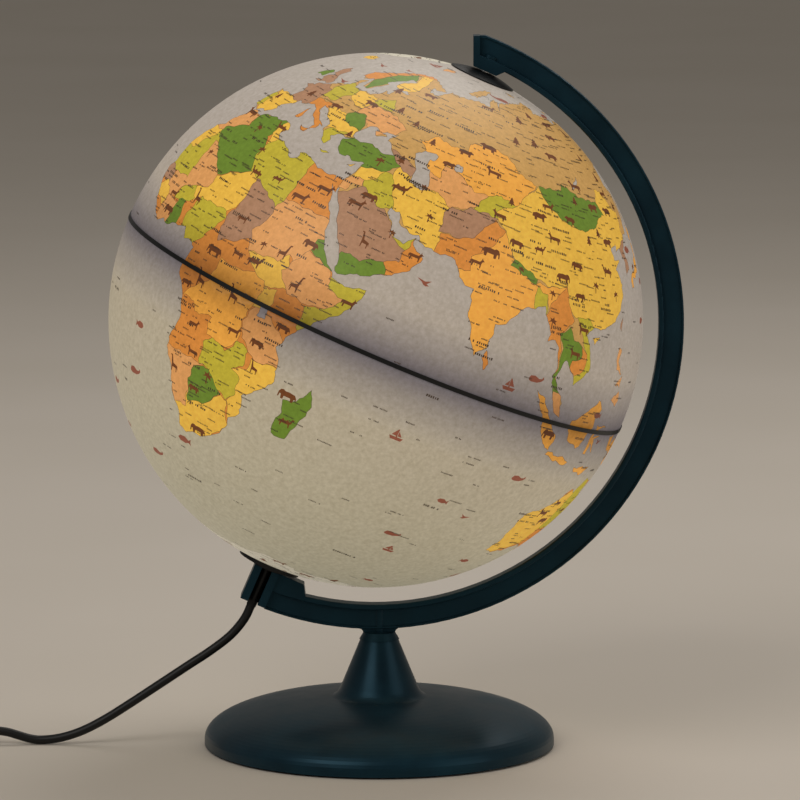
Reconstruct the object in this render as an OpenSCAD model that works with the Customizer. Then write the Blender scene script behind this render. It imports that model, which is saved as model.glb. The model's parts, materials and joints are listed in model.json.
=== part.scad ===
// Desktop globe on a leaning-axis stand, lit from inside, in millimetres.
// The origin is the centre of the underside of the base, +Z is up, and +Y points to the back.
// The polar axis lies in the XZ plane and leans towards +X. The arc passes the globe on the +X side.

/* [Globe] */
// Outside diameter of the globe
globe_d = 300; // [240:5:380]
// Wall of each hemisphere
globe_wall = 1.6; // [1.2:0.1:2.6]
// Lean of the polar axis from upright, in degrees
tilt = 23.5; // [18:0.5:28]
// How far the globe's centre stands beside the neck's axis, away from the arc
globe_side = 1.9; // [0:0.1:4]
// Width of the band around the equator
band_w = 2.4; // [1.6:0.2:5]
// How far the band stands proud of the globe
band_t = 0.5; // [0.3:0.1:1]
// Diameter of the cap over the north pole
cap_d = 37.5; // [32:0.5:48]
// Height of the cap at its middle above the globe
cap_rise = 2.8; // [1.8:0.1:3]
// Diameter of the bearing collar at the south pole
collar_d = 36; // [34:0.5:44]
// Free length of the bearing bush inside the cap
bush_l = 18; // [12:1:26]

/* [Arc] */
// Gap between the globe and the arc
arc_gap = 9.5; // [7:0.5:16]
// Gap between the globe and the flat face of each pole boss
pole_gap = 3.4; // [3.4:0.1:5]
// Thickness of the inner flange
flange_t = 3.3; // [2.4:0.1:5]
// Depth of the inner flange, front to back
flange_w = 11; // [8:0.5:14]
// Height of the web outside the flange
web_h = 11; // [8:0.2:18]
// Thickness of the web
web_t = 3.6; // [2.4:0.2:5]
// Height of the rim along the outside of the web
rim_t = 1.4; // [1:0.1:2.4]
// Depth of the rim, front to back
rim_w = 6; // [5:0.5:9]
// How far the arc's circle is centred below the globe's centre, along the axis
arc_drop = 2; // [0:0.5:3]
// Length of the flat part of the northern boss beyond the axis
north_flat = 6.5; // [5:0.5:14]
// Length of the flat part of the southern boss beyond the axis
south_flat = 22.5; // [14:0.5:30]
// Length over which a pole boss runs out into the flange
boss_run = 3.5; // [2:0.5:8]
// How far the arc's upright cut end stands back from the globe's pole, along X
end_back = 5.3; // [3.8:0.1:9.8]
// Height of the arc's level cut end above the globe's pole
end_rise = 22.9; // [18.5:0.1:26]
// Thickness of the wall across the cut end
end_t = 3.6; // [2.4:0.2:5]
// Width of the block that holds the lamp stem
block_w = 15; // [14:0.5:20]
// Length of the block along the axis
block_l = 21; // [16:0.1:24]

/* [Base] */
// Outside diameter of the base
base_d = 198; // [170:2:260]
// Height of the upright edge around the base, above the table
lip_h = 4; // [3:0.5:8]
// Height of the domed top above the upright edge
dome_h = 25; // [18:1:40]
// Squareness of the dome, where 2 is an ellipse
dome_n = 2.2; // [2:0.1:3]
// Wall of the base moulding
base_wall = 2.6; // [2:0.2:4]
// Height of the top of the neck above the table
neck_h = 61; // [54:1:90]
// Diameter of the neck at its top
neck_d = 21.4; // [20:0.2:30]
// Widening of the neck's radius for each millimetre down
neck_flare = 0.41; // [0.2:0.01:0.6]
// Height of the collar that stands on the neck
collar_h = 4; // [3:0.5:8]
// Width of the tab between the collar and the arc
tab_w = 17.8; // [14:0.2:20]
// Clear height of the tab
tab_h = 1.9; // [1.5:0.1:8]
// Diameter of the upright rib on the web above the tab
rib_d = 5.5; // [4:0.5:9]
// Diameter of the peg that stands in the neck
peg_d = 13; // [11:0.5:14]
// Length of the peg below the collar
peg_l = 25; // [18:1:28]
// Distance between the two flats of the peg
peg_flat = 10.4; // [9:0.2:10.8]
// Outside diameter of the iron ring in the base
ballast_d = 124; // [100:2:128]
// Thickness of the iron ring
ballast_t = 8; // [4:1:10]
// Thickness of the bottom cover
cover_t = 2.5; // [2:0.5:3.5]
// Radius of the circle of cover screws
screw_ring_r = 70; // [68:1:74]

/* [Lamp] */
// Diameter of the bearing on the lamp stem
journal_d = 14; // [13:0.5:18]
// Diameter of the stem's foot in the block
stem_foot_d = 11; // [10:0.2:11]
// Distance of the holder's underside from the globe's centre
holder_s = 112; // [104:1:124]
// Outside diameter of the lamp holder
holder_d = 26; // [22:0.5:26]
// Length of the lamp holder
holder_l = 44; // [36:1:50]
// Diameter of the bulb's glass
bulb_d = 45; // [35:1:60]

/* [Cord] */
// Diameter of the round cord
cord_d = 5; // [4.2:0.1:5]
// Length of the switch on the cord
switch_l = 60; // [56:1:66]
// Width of the switch
switch_w = 26; // [24:1:30]
// Height of the switch
switch_h = 17; // [16:0.5:20]

/* [Hidden] */
$fn = 96;

// Clearances
run = 0.1;      // radial gap of a running fit
slip = 0.05;    // gap of parts that are pushed together
play = 0.2;     // end play of the globe on its bearing

// Globe and arc
globe_r = globe_d / 2;
arc_in_r = globe_r + arc_gap;
flange_out_r = arc_in_r + flange_t;
arc_out_r = flange_out_r + web_h;
boss_s = globe_r + pole_gap;
arc_z = neck_h + collar_h + tab_h + arc_out_r;
globe_z = arc_z + arc_drop * cos(tilt);
globe_x = -globe_side;
arc_x = globe_x - arc_drop * sin(tilt);
end_x = globe_r * sin(tilt) - end_back;
end_top = globe_r * cos(tilt) + end_rise;
end_run = sqrt(pow(arc_out_r, 2) - pow(end_top + globe_z - arc_z, 2)) + arc_x - globe_x - end_x;
hub_r = 4;          // radius of the round hub on the web over the pivot pin
hub_top = boss_s + 9;
pin_r = 2.5;
cap_hole_r = 12.2;  // hole at the north pole
stem_hole_r = 14.4; // hole at the south pole
lap_l = 4;          // how far the southern tongue reaches into the northern hemisphere
lap_t = 1.4;

// Base
base_r = base_d / 2;
rim_z = 1.2;        // the moulding's edge stands this far off the table, on the foot ring
foot_r = [80, 88];
foot_t = 2;
dome_steps = 20;
fillet_in = 3.2;    // the neck's fillet starts this far out from the cone's foot
fillet_up = 5;
cover_z = rim_z + cover_t;
post_r = 4;
socket_floor = 4;
neck_mid = neck_h - peg_l - 1;

// Lamp, measured along the axis from the globe's centre, north positive
foot_disc_t = 1.8;
thrust_s = -boss_s + foot_disc_t;
bore_r = 3.2;
stem_r = 6;
cup_t = 4;
stem_foot_l = 12.4;
channel_w = 6;
holder_wall = 3.6;
shell_r = 7.9;
shell_t = 0.5;
bulb_cap_r = 6.9;
bulb_cap_l = 24;
bulb_base_s = -holder_s + 14.5;
bulb_neck_s = bulb_base_s + bulb_cap_l;
bulb_s = bulb_neck_s + 34;
glass_t = 0.8;

// Cord. The route's points lie on the centre line, and the table is at z = 0.
cord_r = cord_d / 2;
exit_s = -boss_s - block_l - 3.3;
exit_point = [globe_x + exit_s * sin(tilt), 0, globe_z + exit_s * cos(tilt)];
switch_x = -262;
switch_z = 8;
boot_l = 14;
coil_x = -298;
coil_y = 57;
turn_r = [21, 26.1, 31.2, 36.3];
turn_z = [3.3, 8.4];
tie_t = 0.8;
plug_x = -267;
plug_y = 118;
plug_z = 6.85;
plug_l = 34;
route_to_switch = [
  exit_point, [-76.5, 0, 72], [-84, 0, 63], [-95, 0, 54.3], [-109, 0, 45], [-125, 0, 34.3],
  [-141, 0, 23.7], [-155, 0, 14.8], [-168, 0, 8], [-180, 0, 4], [-191, 0, 2.6], [-198, 0, 3.3],
  [-204.5, 0, 5.2], [-211, 0, 7.1], [switch_x + switch_l / 2 + boot_l, 0, switch_z]
];
route_to_coil = [
  [switch_x - switch_l / 2 - boot_l, 0, switch_z], [-312.5, 0.3, 7.9], [-319.5, 2.3, 7.2], [-326.9, 7.4, 5.6],
  [-332.4, 15.6, 4], [-334.3, 25.3, 3.3], [-334.3, 41, 3.3], [-334.3, 57, 3.3]
];
route_to_plug = [
  [-334.3, 57, 8.4], [-334.3, 64.5, 7.5], [-334.3, 72, 5.5], [-334.3, 79.5, 3.5], [-334.3, 87, 2.7],
  [-333.8, 95, 2.7], [-331, 104, 3.4], [-325.5, 111.5, 4.9], [-317.5, 116.5, 6.3],
  [plug_x - plug_l / 2 - 24, plug_y, plug_z]
];

// Places
module on_axis() translate([globe_x, 0, globe_z]) rotate([0, tilt, 0]) children();
module upright_at_globe() rotate([0, -tilt, 0]) children();
module flat_slab(w) rotate([90, 0, 0]) linear_extrude(w, center = true) children();

// A ring with a square section, from radius r[0] to r[1] and height z[0] to z[1]
module ring(r, z) {
  difference() {
    translate([0, 0, z[0]]) cylinder(r = r[1], h = z[1] - z[0]);
    translate([0, 0, z[0] - 1]) cylinder(r = r[0], h = z[1] - z[0] + 2);
  }
}

module rod(r, z) translate([0, 0, z[0]]) cylinder(r = r, h = z[1] - z[0]);

// A rectangle with its low corner at p, its size s and round corners of radius r
module soft_rect(p, s, r) {
  translate([p[0] + r, p[1]]) square([s[0] - 2 * r, s[1]]);
  translate([p[0], p[1] + r]) square([s[0], s[1] - 2 * r]);
  for (x = [p[0] + r, p[0] + s[0] - r], y = [p[1] + r, p[1] + s[1] - r]) translate([x, y]) circle(r);
}

// Base

// The outside line of the base moved inwards by w, from the edge up to the top of the neck
function dome_z(r, w) = lip_h + (dome_h - w) * pow(1 - pow(r / (base_r - w), dome_n), 1 / dome_n);
function cone_r(z, w) = neck_d / 2 + (neck_h - z) * neck_flare - w;
function curve(p0, p1, p2, t) = p0 * (1 - t) * (1 - t) + p1 * 2 * t * (1 - t) + p2 * t * t;
function base_line(w) =
  let (
    foot_z = lip_h + dome_h - w,
    foot = [cone_r(foot_z, w), foot_z],
    out_r = foot[0] + fillet_in + w,
    end_a = acos(pow(out_r / (base_r - w), dome_n / 2)),
    up_z = foot_z + fillet_up
  )
  concat(
    [[base_r - w, rim_z]],
    [for (i = [0:dome_steps]) let (a = end_a * i / dome_steps)
      [(base_r - w) * pow(cos(a), 2 / dome_n), lip_h + (dome_h - w) * pow(sin(a), 2 / dome_n)]],
    [for (i = [1:6]) curve([out_r, dome_z(out_r, w)], foot, [cone_r(up_z, w), up_z], i / 6)]
  );

module base_solid(w, top) {
  rotate_extrude() polygon(concat([[0, rim_z]], base_line(w), [[cone_r(top, w), top], [0, top]]));
}

module peg_shape(gap, h) {
  intersection() {
    cylinder(r = peg_d / 2 + gap, h = h);
    translate([-peg_d, -peg_flat / 2 - gap, 0]) cube([2 * peg_d, peg_flat + 2 * gap, h]);
  }
}

module base_shell() {
  color([0.08, 0.12, 0.15]) difference() {
    union() {
      difference() {
        base_solid(0, neck_h);
        base_solid(base_wall, neck_h - base_wall);
        translate([0, 0, rim_z - 1]) cylinder(r = base_r - base_wall, h = 2);
      }
      intersection() {
        base_solid(base_wall / 2, neck_h - base_wall / 2);
        union() {
          rod(peg_d / 2 + base_wall, [neck_mid - socket_floor, neck_h]);
          for (a = [45:90:315]) rotate(a) {
            translate([screw_ring_r, 0, cover_z]) cylinder(r = post_r, h = dome_h);
            translate([peg_d / 2 + 1, -1, neck_mid - socket_floor]) cube([2 * neck_d, 2, peg_l]);
          }
        }
      }
    }
    translate([0, 0, neck_mid]) peg_shape(slip, peg_l + 2);
    rod(2.3, [0, neck_h]);
    for (a = [45:90:315]) rotate(a) translate([screw_ring_r, 0, 0]) cylinder(r = 1.45, h = 14);
  }
}

module base_ballast() {
  color([0.25, 0.25, 0.26]) ring([28, ballast_d / 2], [cover_z, cover_z + ballast_t]);
}

module base_cover() {
  color([0.07, 0.08, 0.09]) difference() {
    rod(base_r - base_wall - 0.2, [rim_z, cover_z]);
    ring([foot_r[0] - slip, foot_r[1] + slip], [0, foot_t]);
    for (a = [45:90:315]) rotate(a) translate([screw_ring_r, 0, 0]) {
      cylinder(r = 1.8, h = 10);
      cylinder(r = 3.4, h = rim_z + 1.2);
    }
  }
}

module cover_screws() {
  color([0.7, 0.7, 0.72]) for (a = [45:90:315]) rotate(a) translate([screw_ring_r, 0, rim_z + 0.2])
    difference() {
      union() {
        cylinder(r = 3.2, h = 1);
        cylinder(r = 1.4, h = 11.5);
      }
      for (t = [0, 90]) rotate(t) translate([-1.8, -0.4, -0.4]) cube([3.6, 0.8, 1]);
    }
}

module foot_ring() {
  color([0.15, 0.15, 0.15]) ring(foot_r, [0, foot_t]);
}

module neck_washer() {
  color([0.75, 0.75, 0.76]) ring([2.3, 5], [neck_mid - socket_floor - 1, neck_mid - socket_floor]);
}

module neck_screw() {
  color([0.7, 0.7, 0.72]) translate([0, 0, neck_mid - socket_floor - 1]) difference() {
    union() {
      rod(4, [-2.8, 0]);
      rod(2, [-1, socket_floor + 19]);
    }
    for (t = [0, 90]) rotate(t) translate([-2.4, -0.5, -4]) cube([4.8, 1, 2.4]);
  }
}

// Arc

// Outline of a pole boss: its flat face from v[0] to v[1], then the run-out into the flange.
// It is seen from the front with the axis upright, and the arc's circle is centred at height mid.
module boss_outline(v, mid) {
  far = v[1] + boss_run;
  polygon([
    [v[0], boss_s], [v[1], boss_s], [far, mid + sqrt(arc_in_r * arc_in_r - far * far)],
    [far, mid + arc_in_r + 1], [v[0], mid + arc_in_r + 1]
  ]);
}

module rail() {
  rotate([90, 0, 0]) rotate([0, 0, -90]) rotate_extrude(angle = 180 + 8, $fn = 180) {
    soft_rect([arc_in_r, -flange_w / 2], [flange_t, flange_w], 1);
    translate([flange_out_r - 1, -web_t / 2]) square([web_h + 0.5, web_t]);
    soft_rect([arc_out_r - rim_t, -rim_w / 2], [rim_t, rim_w], 0.5);
  }
}

// Everything of the end wall that lies outside the boss's flat face
module end_wall() {
  intersection() {
    upright_at_globe() {
      translate([end_x, -flange_w / 2, 0]) cube([end_t, flange_w, end_top]);
      translate([end_x, -rim_w / 2, end_top - rim_t]) cube([end_run, rim_w, rim_t]);
    }
    translate([-globe_r, -flange_w, boss_s]) cube([globe_d, 2 * flange_w, globe_r]);
  }
}

// The half circle from pole to pole, with the north end cut off upright and level
module arc_body() {
  difference() {
    union() {
      translate([0, 0, -arc_drop]) rail();
      end_wall();
      flat_slab(flange_w) boss_outline([-end_x / 2, north_flat], -arc_drop);
      mirror([0, 0, 1]) flat_slab(flange_w) boss_outline([-block_w / 2, south_flat], arc_drop);
      rod(hub_r, [boss_s + 1, hub_top]);
    }
    upright_at_globe() {
      translate([end_x - globe_d, -flange_w, 0]) cube([globe_d, 2 * flange_w, globe_d]);
      translate([0, -flange_w, end_top]) cube([globe_d, 2 * flange_w, globe_d]);
    }
    translate([-block_w / 2, -flange_w, -2 * globe_r]) cube([block_w, 2 * flange_w, globe_d - boss_s - block_l]);
  }
}

module tab() {
  fillet = 3;
  side = tab_w / 2 + fillet;
  flat_slab(web_t) difference() {
    translate([-side, neck_h + collar_h - 0.5]) square([2 * side, tab_h + 2.5]);
    for (x = [-side, side]) {
      fillet_z = arc_z - sqrt(pow(arc_out_r + fillet, 2) - pow(x - arc_x, 2));
      translate([x, fillet_z]) circle(fillet);
      translate([x - fillet, 0]) square([2 * fillet, fillet_z]);
    }
  }
}

module meridian_arc() {
  color([0.09, 0.14, 0.17]) difference() {
    union() {
      on_axis() {
        arc_body();
        translate([-block_w / 2, -block_w / 2, -boss_s - block_l]) cube([block_w, block_w, block_l]);
      }
      tab();
      rod(rib_d / 2, [neck_h + collar_h - 0.5, arc_z - flange_out_r + 1.5]);
      translate([0, 0, neck_h]) cylinder(r1 = neck_d / 2 + 0.6, r2 = tab_w / 2, h = collar_h);
      translate([0, 0, neck_h - peg_l]) peg_shape(0, peg_l + 1);
    }
    rod(2.05, [neck_h - peg_l - 1, neck_h - 4]);
    on_axis() {
      rod(pin_r, [0, hub_top - 1]);
      rod(stem_foot_d / 2 + slip, [-boss_s - stem_foot_l, -boss_s + 1]);
      rod(channel_w / 2, [-boss_s - block_l - 1, -boss_s + 1]);
      translate([-channel_w / 2, -block_w, -boss_s - block_l - 1]) cube([channel_w, block_w, block_l + 2]);
      translate([0, 0, -boss_s - 6]) rotate([-90, 0, 0]) cylinder(r = 1.55, h = block_w);
    }
  }
}

// Globe and its bearings

module pivot_pin() {
  color([0.78, 0.78, 0.8]) on_axis() rod(pin_r, [globe_r - bush_l, hub_top - 1]);
}

module pivot_bush() {
  color([0.85, 0.84, 0.8]) on_axis() difference() {
    union() {
      rod(4, [globe_r - bush_l, globe_r - 1]);
      rod(5.2, [globe_r - bush_l - 1.5, globe_r - bush_l]);
    }
    rod(pin_r + slip, [globe_r - bush_l - 2, globe_r + 5]);
  }
}

// The cap's dome is a slice of a large ball that rises cap_rise above the globe
module north_cap() {
  cap_r = cap_d / 2;
  drop = cap_rise + 0.4;
  dome_r = (cap_r * cap_r + drop * drop) / (2 * drop);
  color([0.05, 0.05, 0.05]) on_axis() rotate_extrude() difference() {
    union() {
      difference() {
        intersection() {
          translate([0, globe_r + cap_rise - dome_r]) circle(dome_r);
          translate([0, globe_r - 5]) square([cap_r, 10]);
        }
        circle(globe_r + 0.02, $fn = 360);
      }
      translate([0, globe_r - 5]) square([cap_hole_r - 0.2, 5.4]);
      translate([0, globe_r - globe_wall - 2.6]) square([cap_hole_r + 0.5, 1.4]);
      translate([0, globe_r - bush_l]) square([5.2, bush_l]);
    }
    translate([-1, globe_r - bush_l - 1]) square([5.05, bush_l]);
    translate([-1, 0]) square([1 + pin_r + 0.4, 2 * globe_r]);
    translate([6.5, globe_r - 6]) square([4.2, 4]);
  }
}

module wall_line() {
  difference() {
    circle(globe_r, $fn = 360);
    circle(globe_r - globe_wall, $fn = 360);
  }
}

module northern_hemisphere() {
  color([0.85, 0.72, 0.45]) on_axis() rotate_extrude($fn = 180) intersection() {
    wall_line();
    translate([cap_hole_r, 0]) square([globe_d, globe_d]);
  }
}

module southern_hemisphere() {
  inner = globe_r - globe_wall;
  color([0.66, 0.62, 0.52]) on_axis() rotate_extrude($fn = 180) {
    intersection() {
      wall_line();
      translate([stem_hole_r, -globe_d]) square([globe_d, globe_d]);
    }
    translate([inner - lap_t - run, -6]) square([lap_t, 6 + lap_l]);
    translate([inner - lap_t - run, -6]) square([lap_t + 0.6, 5.9]);
  }
}

module equator_band() {
  color([0.06, 0.06, 0.06]) on_axis() ring([globe_r, globe_r + band_t], [-band_w / 2, band_w / 2]);
}

module south_collar() {
  color([0.05, 0.05, 0.05]) on_axis() rotate_extrude() difference() {
    union() {
      difference() {
        translate([0, thrust_s + play]) square([collar_d / 2, 5]);
        circle(globe_r + 0.02, $fn = 360);
      }
      translate([0, thrust_s + play]) square([stem_hole_r - 0.2, 9]);
      translate([0, -globe_r + globe_wall + 0.9]) square([stem_hole_r + 0.5, 1.4]);
    }
    translate([-1, -globe_d]) square([1 + journal_d / 2 + run, globe_d]);
    translate([9, -globe_r + 1.5]) square([3.4, 9]);
  }
}

// Lamp

module holder_stem() {
  low = -boss_s - stem_foot_l + slip;
  color([0.06, 0.06, 0.06]) on_axis() difference() {
    union() {
      rod(stem_foot_d / 2, [low, thrust_s]);
      rod(9.5, [-boss_s, thrust_s]);
      rod(journal_d / 2, [thrust_s - 0.5, thrust_s + 13]);
      rod(stem_r, [thrust_s, -holder_s]);
      rod(holder_d / 2, [-holder_s - cup_t, -holder_s]);
    }
    rod(bore_r, [low - 1, -holder_s + 1]);
    translate([-channel_w / 2, -block_w, low - 1]) cube([channel_w, block_w, -boss_s - low + 1]);
    translate([0, 0, -boss_s - 6]) rotate([-90, 0, 0]) cylinder(r = 1.55, h = block_w);
  }
}

module stem_screw() {
  color([0.75, 0.75, 0.76]) on_axis() translate([0, 0, -boss_s - 6]) rotate([-90, 0, 0]) difference() {
    union() {
      rod(1.5, [bore_r + 0.3, block_w / 2 + 0.5]);
      rod(2.8, [block_w / 2, block_w / 2 + 1.8]);
    }
    for (t = [0, 90]) rotate(t) translate([-1.7, -0.35, block_w / 2 + 0.8]) cube([3.4, 0.7, 2]);
  }
}

module holder_body() {
  color([0.9, 0.89, 0.85]) on_axis() difference() {
    rod(holder_d / 2, [-holder_s, -holder_s + holder_l]);
    rod(holder_d / 2 - holder_wall, [-holder_s + 4, -holder_s + holder_l + 1]);
    rod(bore_r, [-holder_s - 1, -holder_s + 5]);
  }
}

module socket_insert() {
  color([0.92, 0.91, 0.88]) on_axis() difference() {
    rod(holder_d / 2 - holder_wall - slip, [-holder_s + 4, -holder_s + 12]);
    rod(1.6, [-holder_s + 3, -holder_s + 13]);
  }
}

module socket_contact() {
  color([0.8, 0.65, 0.3]) on_axis() {
    rod(1.5, [-holder_s + 5, -holder_s + 12.4]);
    rod(3, [-holder_s + 12, bulb_base_s - 1]);
  }
}

module socket_shell() {
  color([0.8, 0.65, 0.3]) on_axis() difference() {
    rod(shell_r, [-holder_s + 12, -holder_s + holder_l - 5]);
    rod(shell_r - shell_t, [-holder_s + 12.5, -holder_s + holder_l]);
    rod(4.2, [-holder_s + 11, -holder_s + 14]);
  }
}

module bulb_cap() {
  color([0.8, 0.8, 0.78]) on_axis() difference() {
    union() {
      rod(2.6, [bulb_base_s - 0.9, bulb_base_s + 2]);
      rod(bulb_cap_r - 0.6, [bulb_base_s, bulb_neck_s]);
      for (i = [0:5]) translate([0, 0, bulb_base_s + 4 + 2.8 * i]) rotate_extrude()
        translate([bulb_cap_r - 0.6, 0]) circle(0.6, $fn = 24);
    }
    rod(bulb_cap_r - 1.2, [bulb_base_s + 1, bulb_neck_s + 1]);
  }
}

// The bulb's outside line moved inwards by w: a neck that opens into a ball
module bulb_line(w) {
  ball = bulb_d / 2;
  rotate_extrude() {
    intersection() {
      translate([0, bulb_s]) circle(ball - w);
      translate([0, bulb_neck_s]) square([ball, globe_r]);
    }
    polygon([
      [0, bulb_neck_s - 3], [5.6 - w, bulb_neck_s - 3], [5.6 - w, bulb_neck_s], [8.5 - w, bulb_neck_s + 8],
      [ball * 0.8 - w, bulb_s - ball * 0.6], [0, bulb_s - ball * 0.6]
    ]);
  }
}

module bulb_glass() {
  color([0.98, 0.96, 0.9]) on_axis() difference() {
    bulb_line(0);
    bulb_line(glass_t);
    rod(2, [bulb_neck_s - 5, bulb_neck_s - 2]);
  }
}

module bulb_mount() {
  color([0.8, 0.85, 0.85]) on_axis() {
    rod(1.9, [bulb_neck_s - 3, bulb_s - 10]);
    for (x = [-1, 1]) translate([x * 4.2, 0, bulb_s - 12]) cylinder(r = 0.3, h = 12);
    translate([0, 0, bulb_s - 11.5]) rotate([0, 90, 0]) cylinder(r = 0.3, h = 8.4, center = true);
  }
}

module bulb_filament() {
  color([1, 0.8, 0.4]) on_axis() translate([0, 0, bulb_s]) rotate([90, 0, 0]) rotate_extrude(angle = 180)
    translate([4.2, 0]) circle(0.5, $fn = 24);
}

// Cord

module lamp_lead() {
  color([0.05, 0.05, 0.05]) on_axis() rod(cord_r, [exit_s, -holder_s - 1]);
}

module lead_sleeve() {
  color([0.07, 0.07, 0.07]) on_axis() difference() {
    translate([0, 0, exit_s + 0.5]) cylinder(r1 = cord_r + 0.25, r2 = channel_w / 2 - slip, h = 4);
    rod(cord_r + slip / 2, [exit_s - 1, exit_s + 10]);
  }
}

// A point on the smooth line through the points, where u counts points, and the step that the line takes there
function at(p, i) = p[max(0, min(len(p) - 1, i))];
function bend(a, b, c, d, t) =
  0.5 * (2 * b + (c - a) * t + (2 * a - 5 * b + 4 * c - d) * t * t + (3 * b - a - 3 * c + d) * t * t * t);
function on_route(p, u) =
  let (i = min(floor(u), len(p) - 2))
  bend(at(p, i - 1), at(p, i), at(p, i + 1), at(p, i + 2), u - i);
function unit(v) = v / norm(v);

// A closed tube of ten sides along a smooth line through the route, which never runs straight up
module tube(route, per_span = 1) {
  sides = 10;
  last = (len(route) - 1) * per_span;
  rings = [for (k = [0:last]) let (
    u = k / per_span,
    along = unit(on_route(route, min(u + 0.05, len(route) - 1)) - on_route(route, max(u - 0.05, 0))),
    flat = unit(cross([0, 0, 1], along)),
    up = cross(along, flat)
  ) [for (j = [0:sides - 1]) on_route(route, u) + cord_r * (cos(360 * j / sides) * flat
    + sin(360 * j / sides) * up)]];
  points = [for (r = rings, q = r) q];
  skin = [for (k = [0:last - 1], j = [0:sides - 1]) let (m = (j + 1) % sides)
    [k * sides + j, (k + 1) * sides + j, (k + 1) * sides + m, k * sides + m]];
  ends = [[for (j = [0:sides - 1]) j], [for (j = [sides - 1:-1:0]) last * sides + j]];
  color([0.05, 0.05, 0.05]) polyhedron(points, concat(skin, ends), convexity = 6);
}

module cord_to_switch() tube(route_to_switch, 1);
module cord_to_coil() tube(route_to_coil, 1);
module cord_to_plug() tube(route_to_plug, 1);

// The outer shape of the turns of the coil
module coil_shape(grow) {
  inner = turn_r[0] - cord_r - grow;
  outer = turn_r[len(turn_r) - 1] + cord_r + grow;
  low = turn_z[0] - cord_r - grow;
  high = turn_z[len(turn_z) - 1] + cord_r + grow;
  soft_rect([inner, low], [outer - inner, high - low], 2);
}

module cord_coil() {
  color([0.05, 0.05, 0.05]) translate([coil_x, coil_y, 0]) rotate_extrude() coil_shape(0);
}

module coil_tie() {
  color([0.12, 0.12, 0.12]) translate([coil_x, coil_y, 0]) rotate([0, 0, 20]) flat_slab(8) difference() {
    coil_shape(tie_t);
    coil_shape(slip);
  }
}

// Outline of the switch, lying along X
module switch_outline(inset) {
  soft_rect(
    [-switch_l / 2 + inset, -switch_w / 2 + inset], [switch_l - 2 * inset, switch_w - 2 * inset], 7 - inset
  );
}

module at_switch() translate([switch_x, 0, 0]) children();
module switch_bores() {
  translate([0, 0, switch_z]) rotate([0, 90, 0]) cylinder(r = cord_r + 0.2, h = 2 * switch_l, center = true);
  for (x = [-1, 1]) translate([x * 23, 0, 0]) rod(1.25, [1, switch_h - 3]);
}

module switch_base() {
  color([0.05, 0.05, 0.05]) at_switch() difference() {
    union() {
      linear_extrude(1) switch_outline(1);
      translate([0, 0, 1]) linear_extrude(switch_z - 1) switch_outline(0);
    }
    translate([-15.5, -switch_w / 2 + 2, 2]) cube([31, switch_w - 4, switch_h]);
    switch_bores();
    for (x = [-1, 1]) translate([x * 23, 0, 0]) rod(2.4, [-1, 2.4]);
  }
}

rocker_l = 18;
rocker_w = 11;
rocker_z = switch_h - 3.4;
rocker_on = 7; // angle at rest

module switch_cover() {
  color([0.05, 0.05, 0.05]) at_switch() difference() {
    union() {
      translate([0, 0, switch_z]) linear_extrude(switch_h - switch_z - 1.5) switch_outline(0);
      translate([0, 0, switch_h - 1.6]) linear_extrude(1.6) switch_outline(1.5);
    }
    translate([-15.5, -switch_w / 2 + 2, 0]) cube([31, switch_w - 4, rocker_z - 2.4]);
    translate([-rocker_l / 2 - 1, -rocker_w / 2 - 0.4, 0]) cube([rocker_l + 2, rocker_w + 0.8, 2 * switch_h]);
    translate([0, 0, rocker_z]) rotate([90, 0, 0]) cylinder(r = 1.35, h = rocker_w + 4.4, center = true);
    switch_bores();
  }
}

module switch_rocker() {
  low = 2.6;
  high = 3.9;
  half = rocker_l / 2;
  color([0.1, 0.1, 0.1]) at_switch() translate([0, 0, rocker_z]) rotate([0, rocker_on, 0]) {
    flat_slab(rocker_w) polygon([
      [-half, -low / 2], [-half / 2, -low], [half / 2, -low], [half, -low / 2],
      [half, high + 0.5], [half / 2, high - 0.5], [0, high - 0.9], [-half / 2, high - 0.5], [-half, high + 0.5]
    ]);
    rotate([90, 0, 0]) cylinder(r = 1.25, h = rocker_w + 4, center = true);
  }
}

module switch_contacts() {
  color([0.8, 0.65, 0.3]) at_switch() for (x = [-1, 1]) translate([x * 9, 0, 0]) {
    translate([-3, -4, 2]) cube([6, 8, 3]);
    translate([x * 1 - 0.4, -2, 4.5]) cube([0.8, 4, 2.5]);
  }
}

module switch_screws() {
  color([0.7, 0.7, 0.72]) at_switch() for (x = [-1, 1]) translate([x * 23, 0, 0]) difference() {
    union() {
      rod(2.2, [0.8, 2.2]);
      rod(1.2, [2, switch_h - 4]);
    }
    translate([-1.4, -0.3, 0.5]) cube([2.8, 0.6, 0.8]);
  }
}

module switch_boots() {
  color([0.07, 0.07, 0.07]) at_switch() for (x = [0, 180]) rotate(x)
    translate([switch_l / 2, 0, switch_z]) rotate([0, 90, 0]) cylinder(r1 = 4.6, r2 = cord_r + 0.4, h = boot_l);
}

// Plug: a flat two-pin plug lying on the table with its pins towards +X
module at_plug() translate([plug_x, plug_y, plug_z]) children();
plug_spread = 18.6;

module plug_body() {
  thick = 2 * plug_z;
  color([0.05, 0.05, 0.05]) at_plug() hull() {
    for (y = [-1, 1]) {
      translate([plug_l / 2 - 4, y * 13.4, 0]) scale_ball(4, thick / 2);
      translate([-plug_l / 2 + 12, y * 12, 0]) scale_ball(4, thick / 2);
      translate([-plug_l / 2 + 3.2, y * 3.4, 0]) scale_ball(3, 4.6);
    }
    translate([plug_l / 2 - 1, -plug_spread / 2 - 6, -5]) cube([1, plug_spread + 12, 10]);
  }
}

// A short upright drum with softened edges, of radius r and half height h
module scale_ball(r, h) {
  cylinder(r = r, h = 2 * h - 2, center = true, $fn = 32);
  cylinder(r = r - 1, h = 2 * h, center = true, $fn = 32);
}

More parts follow.
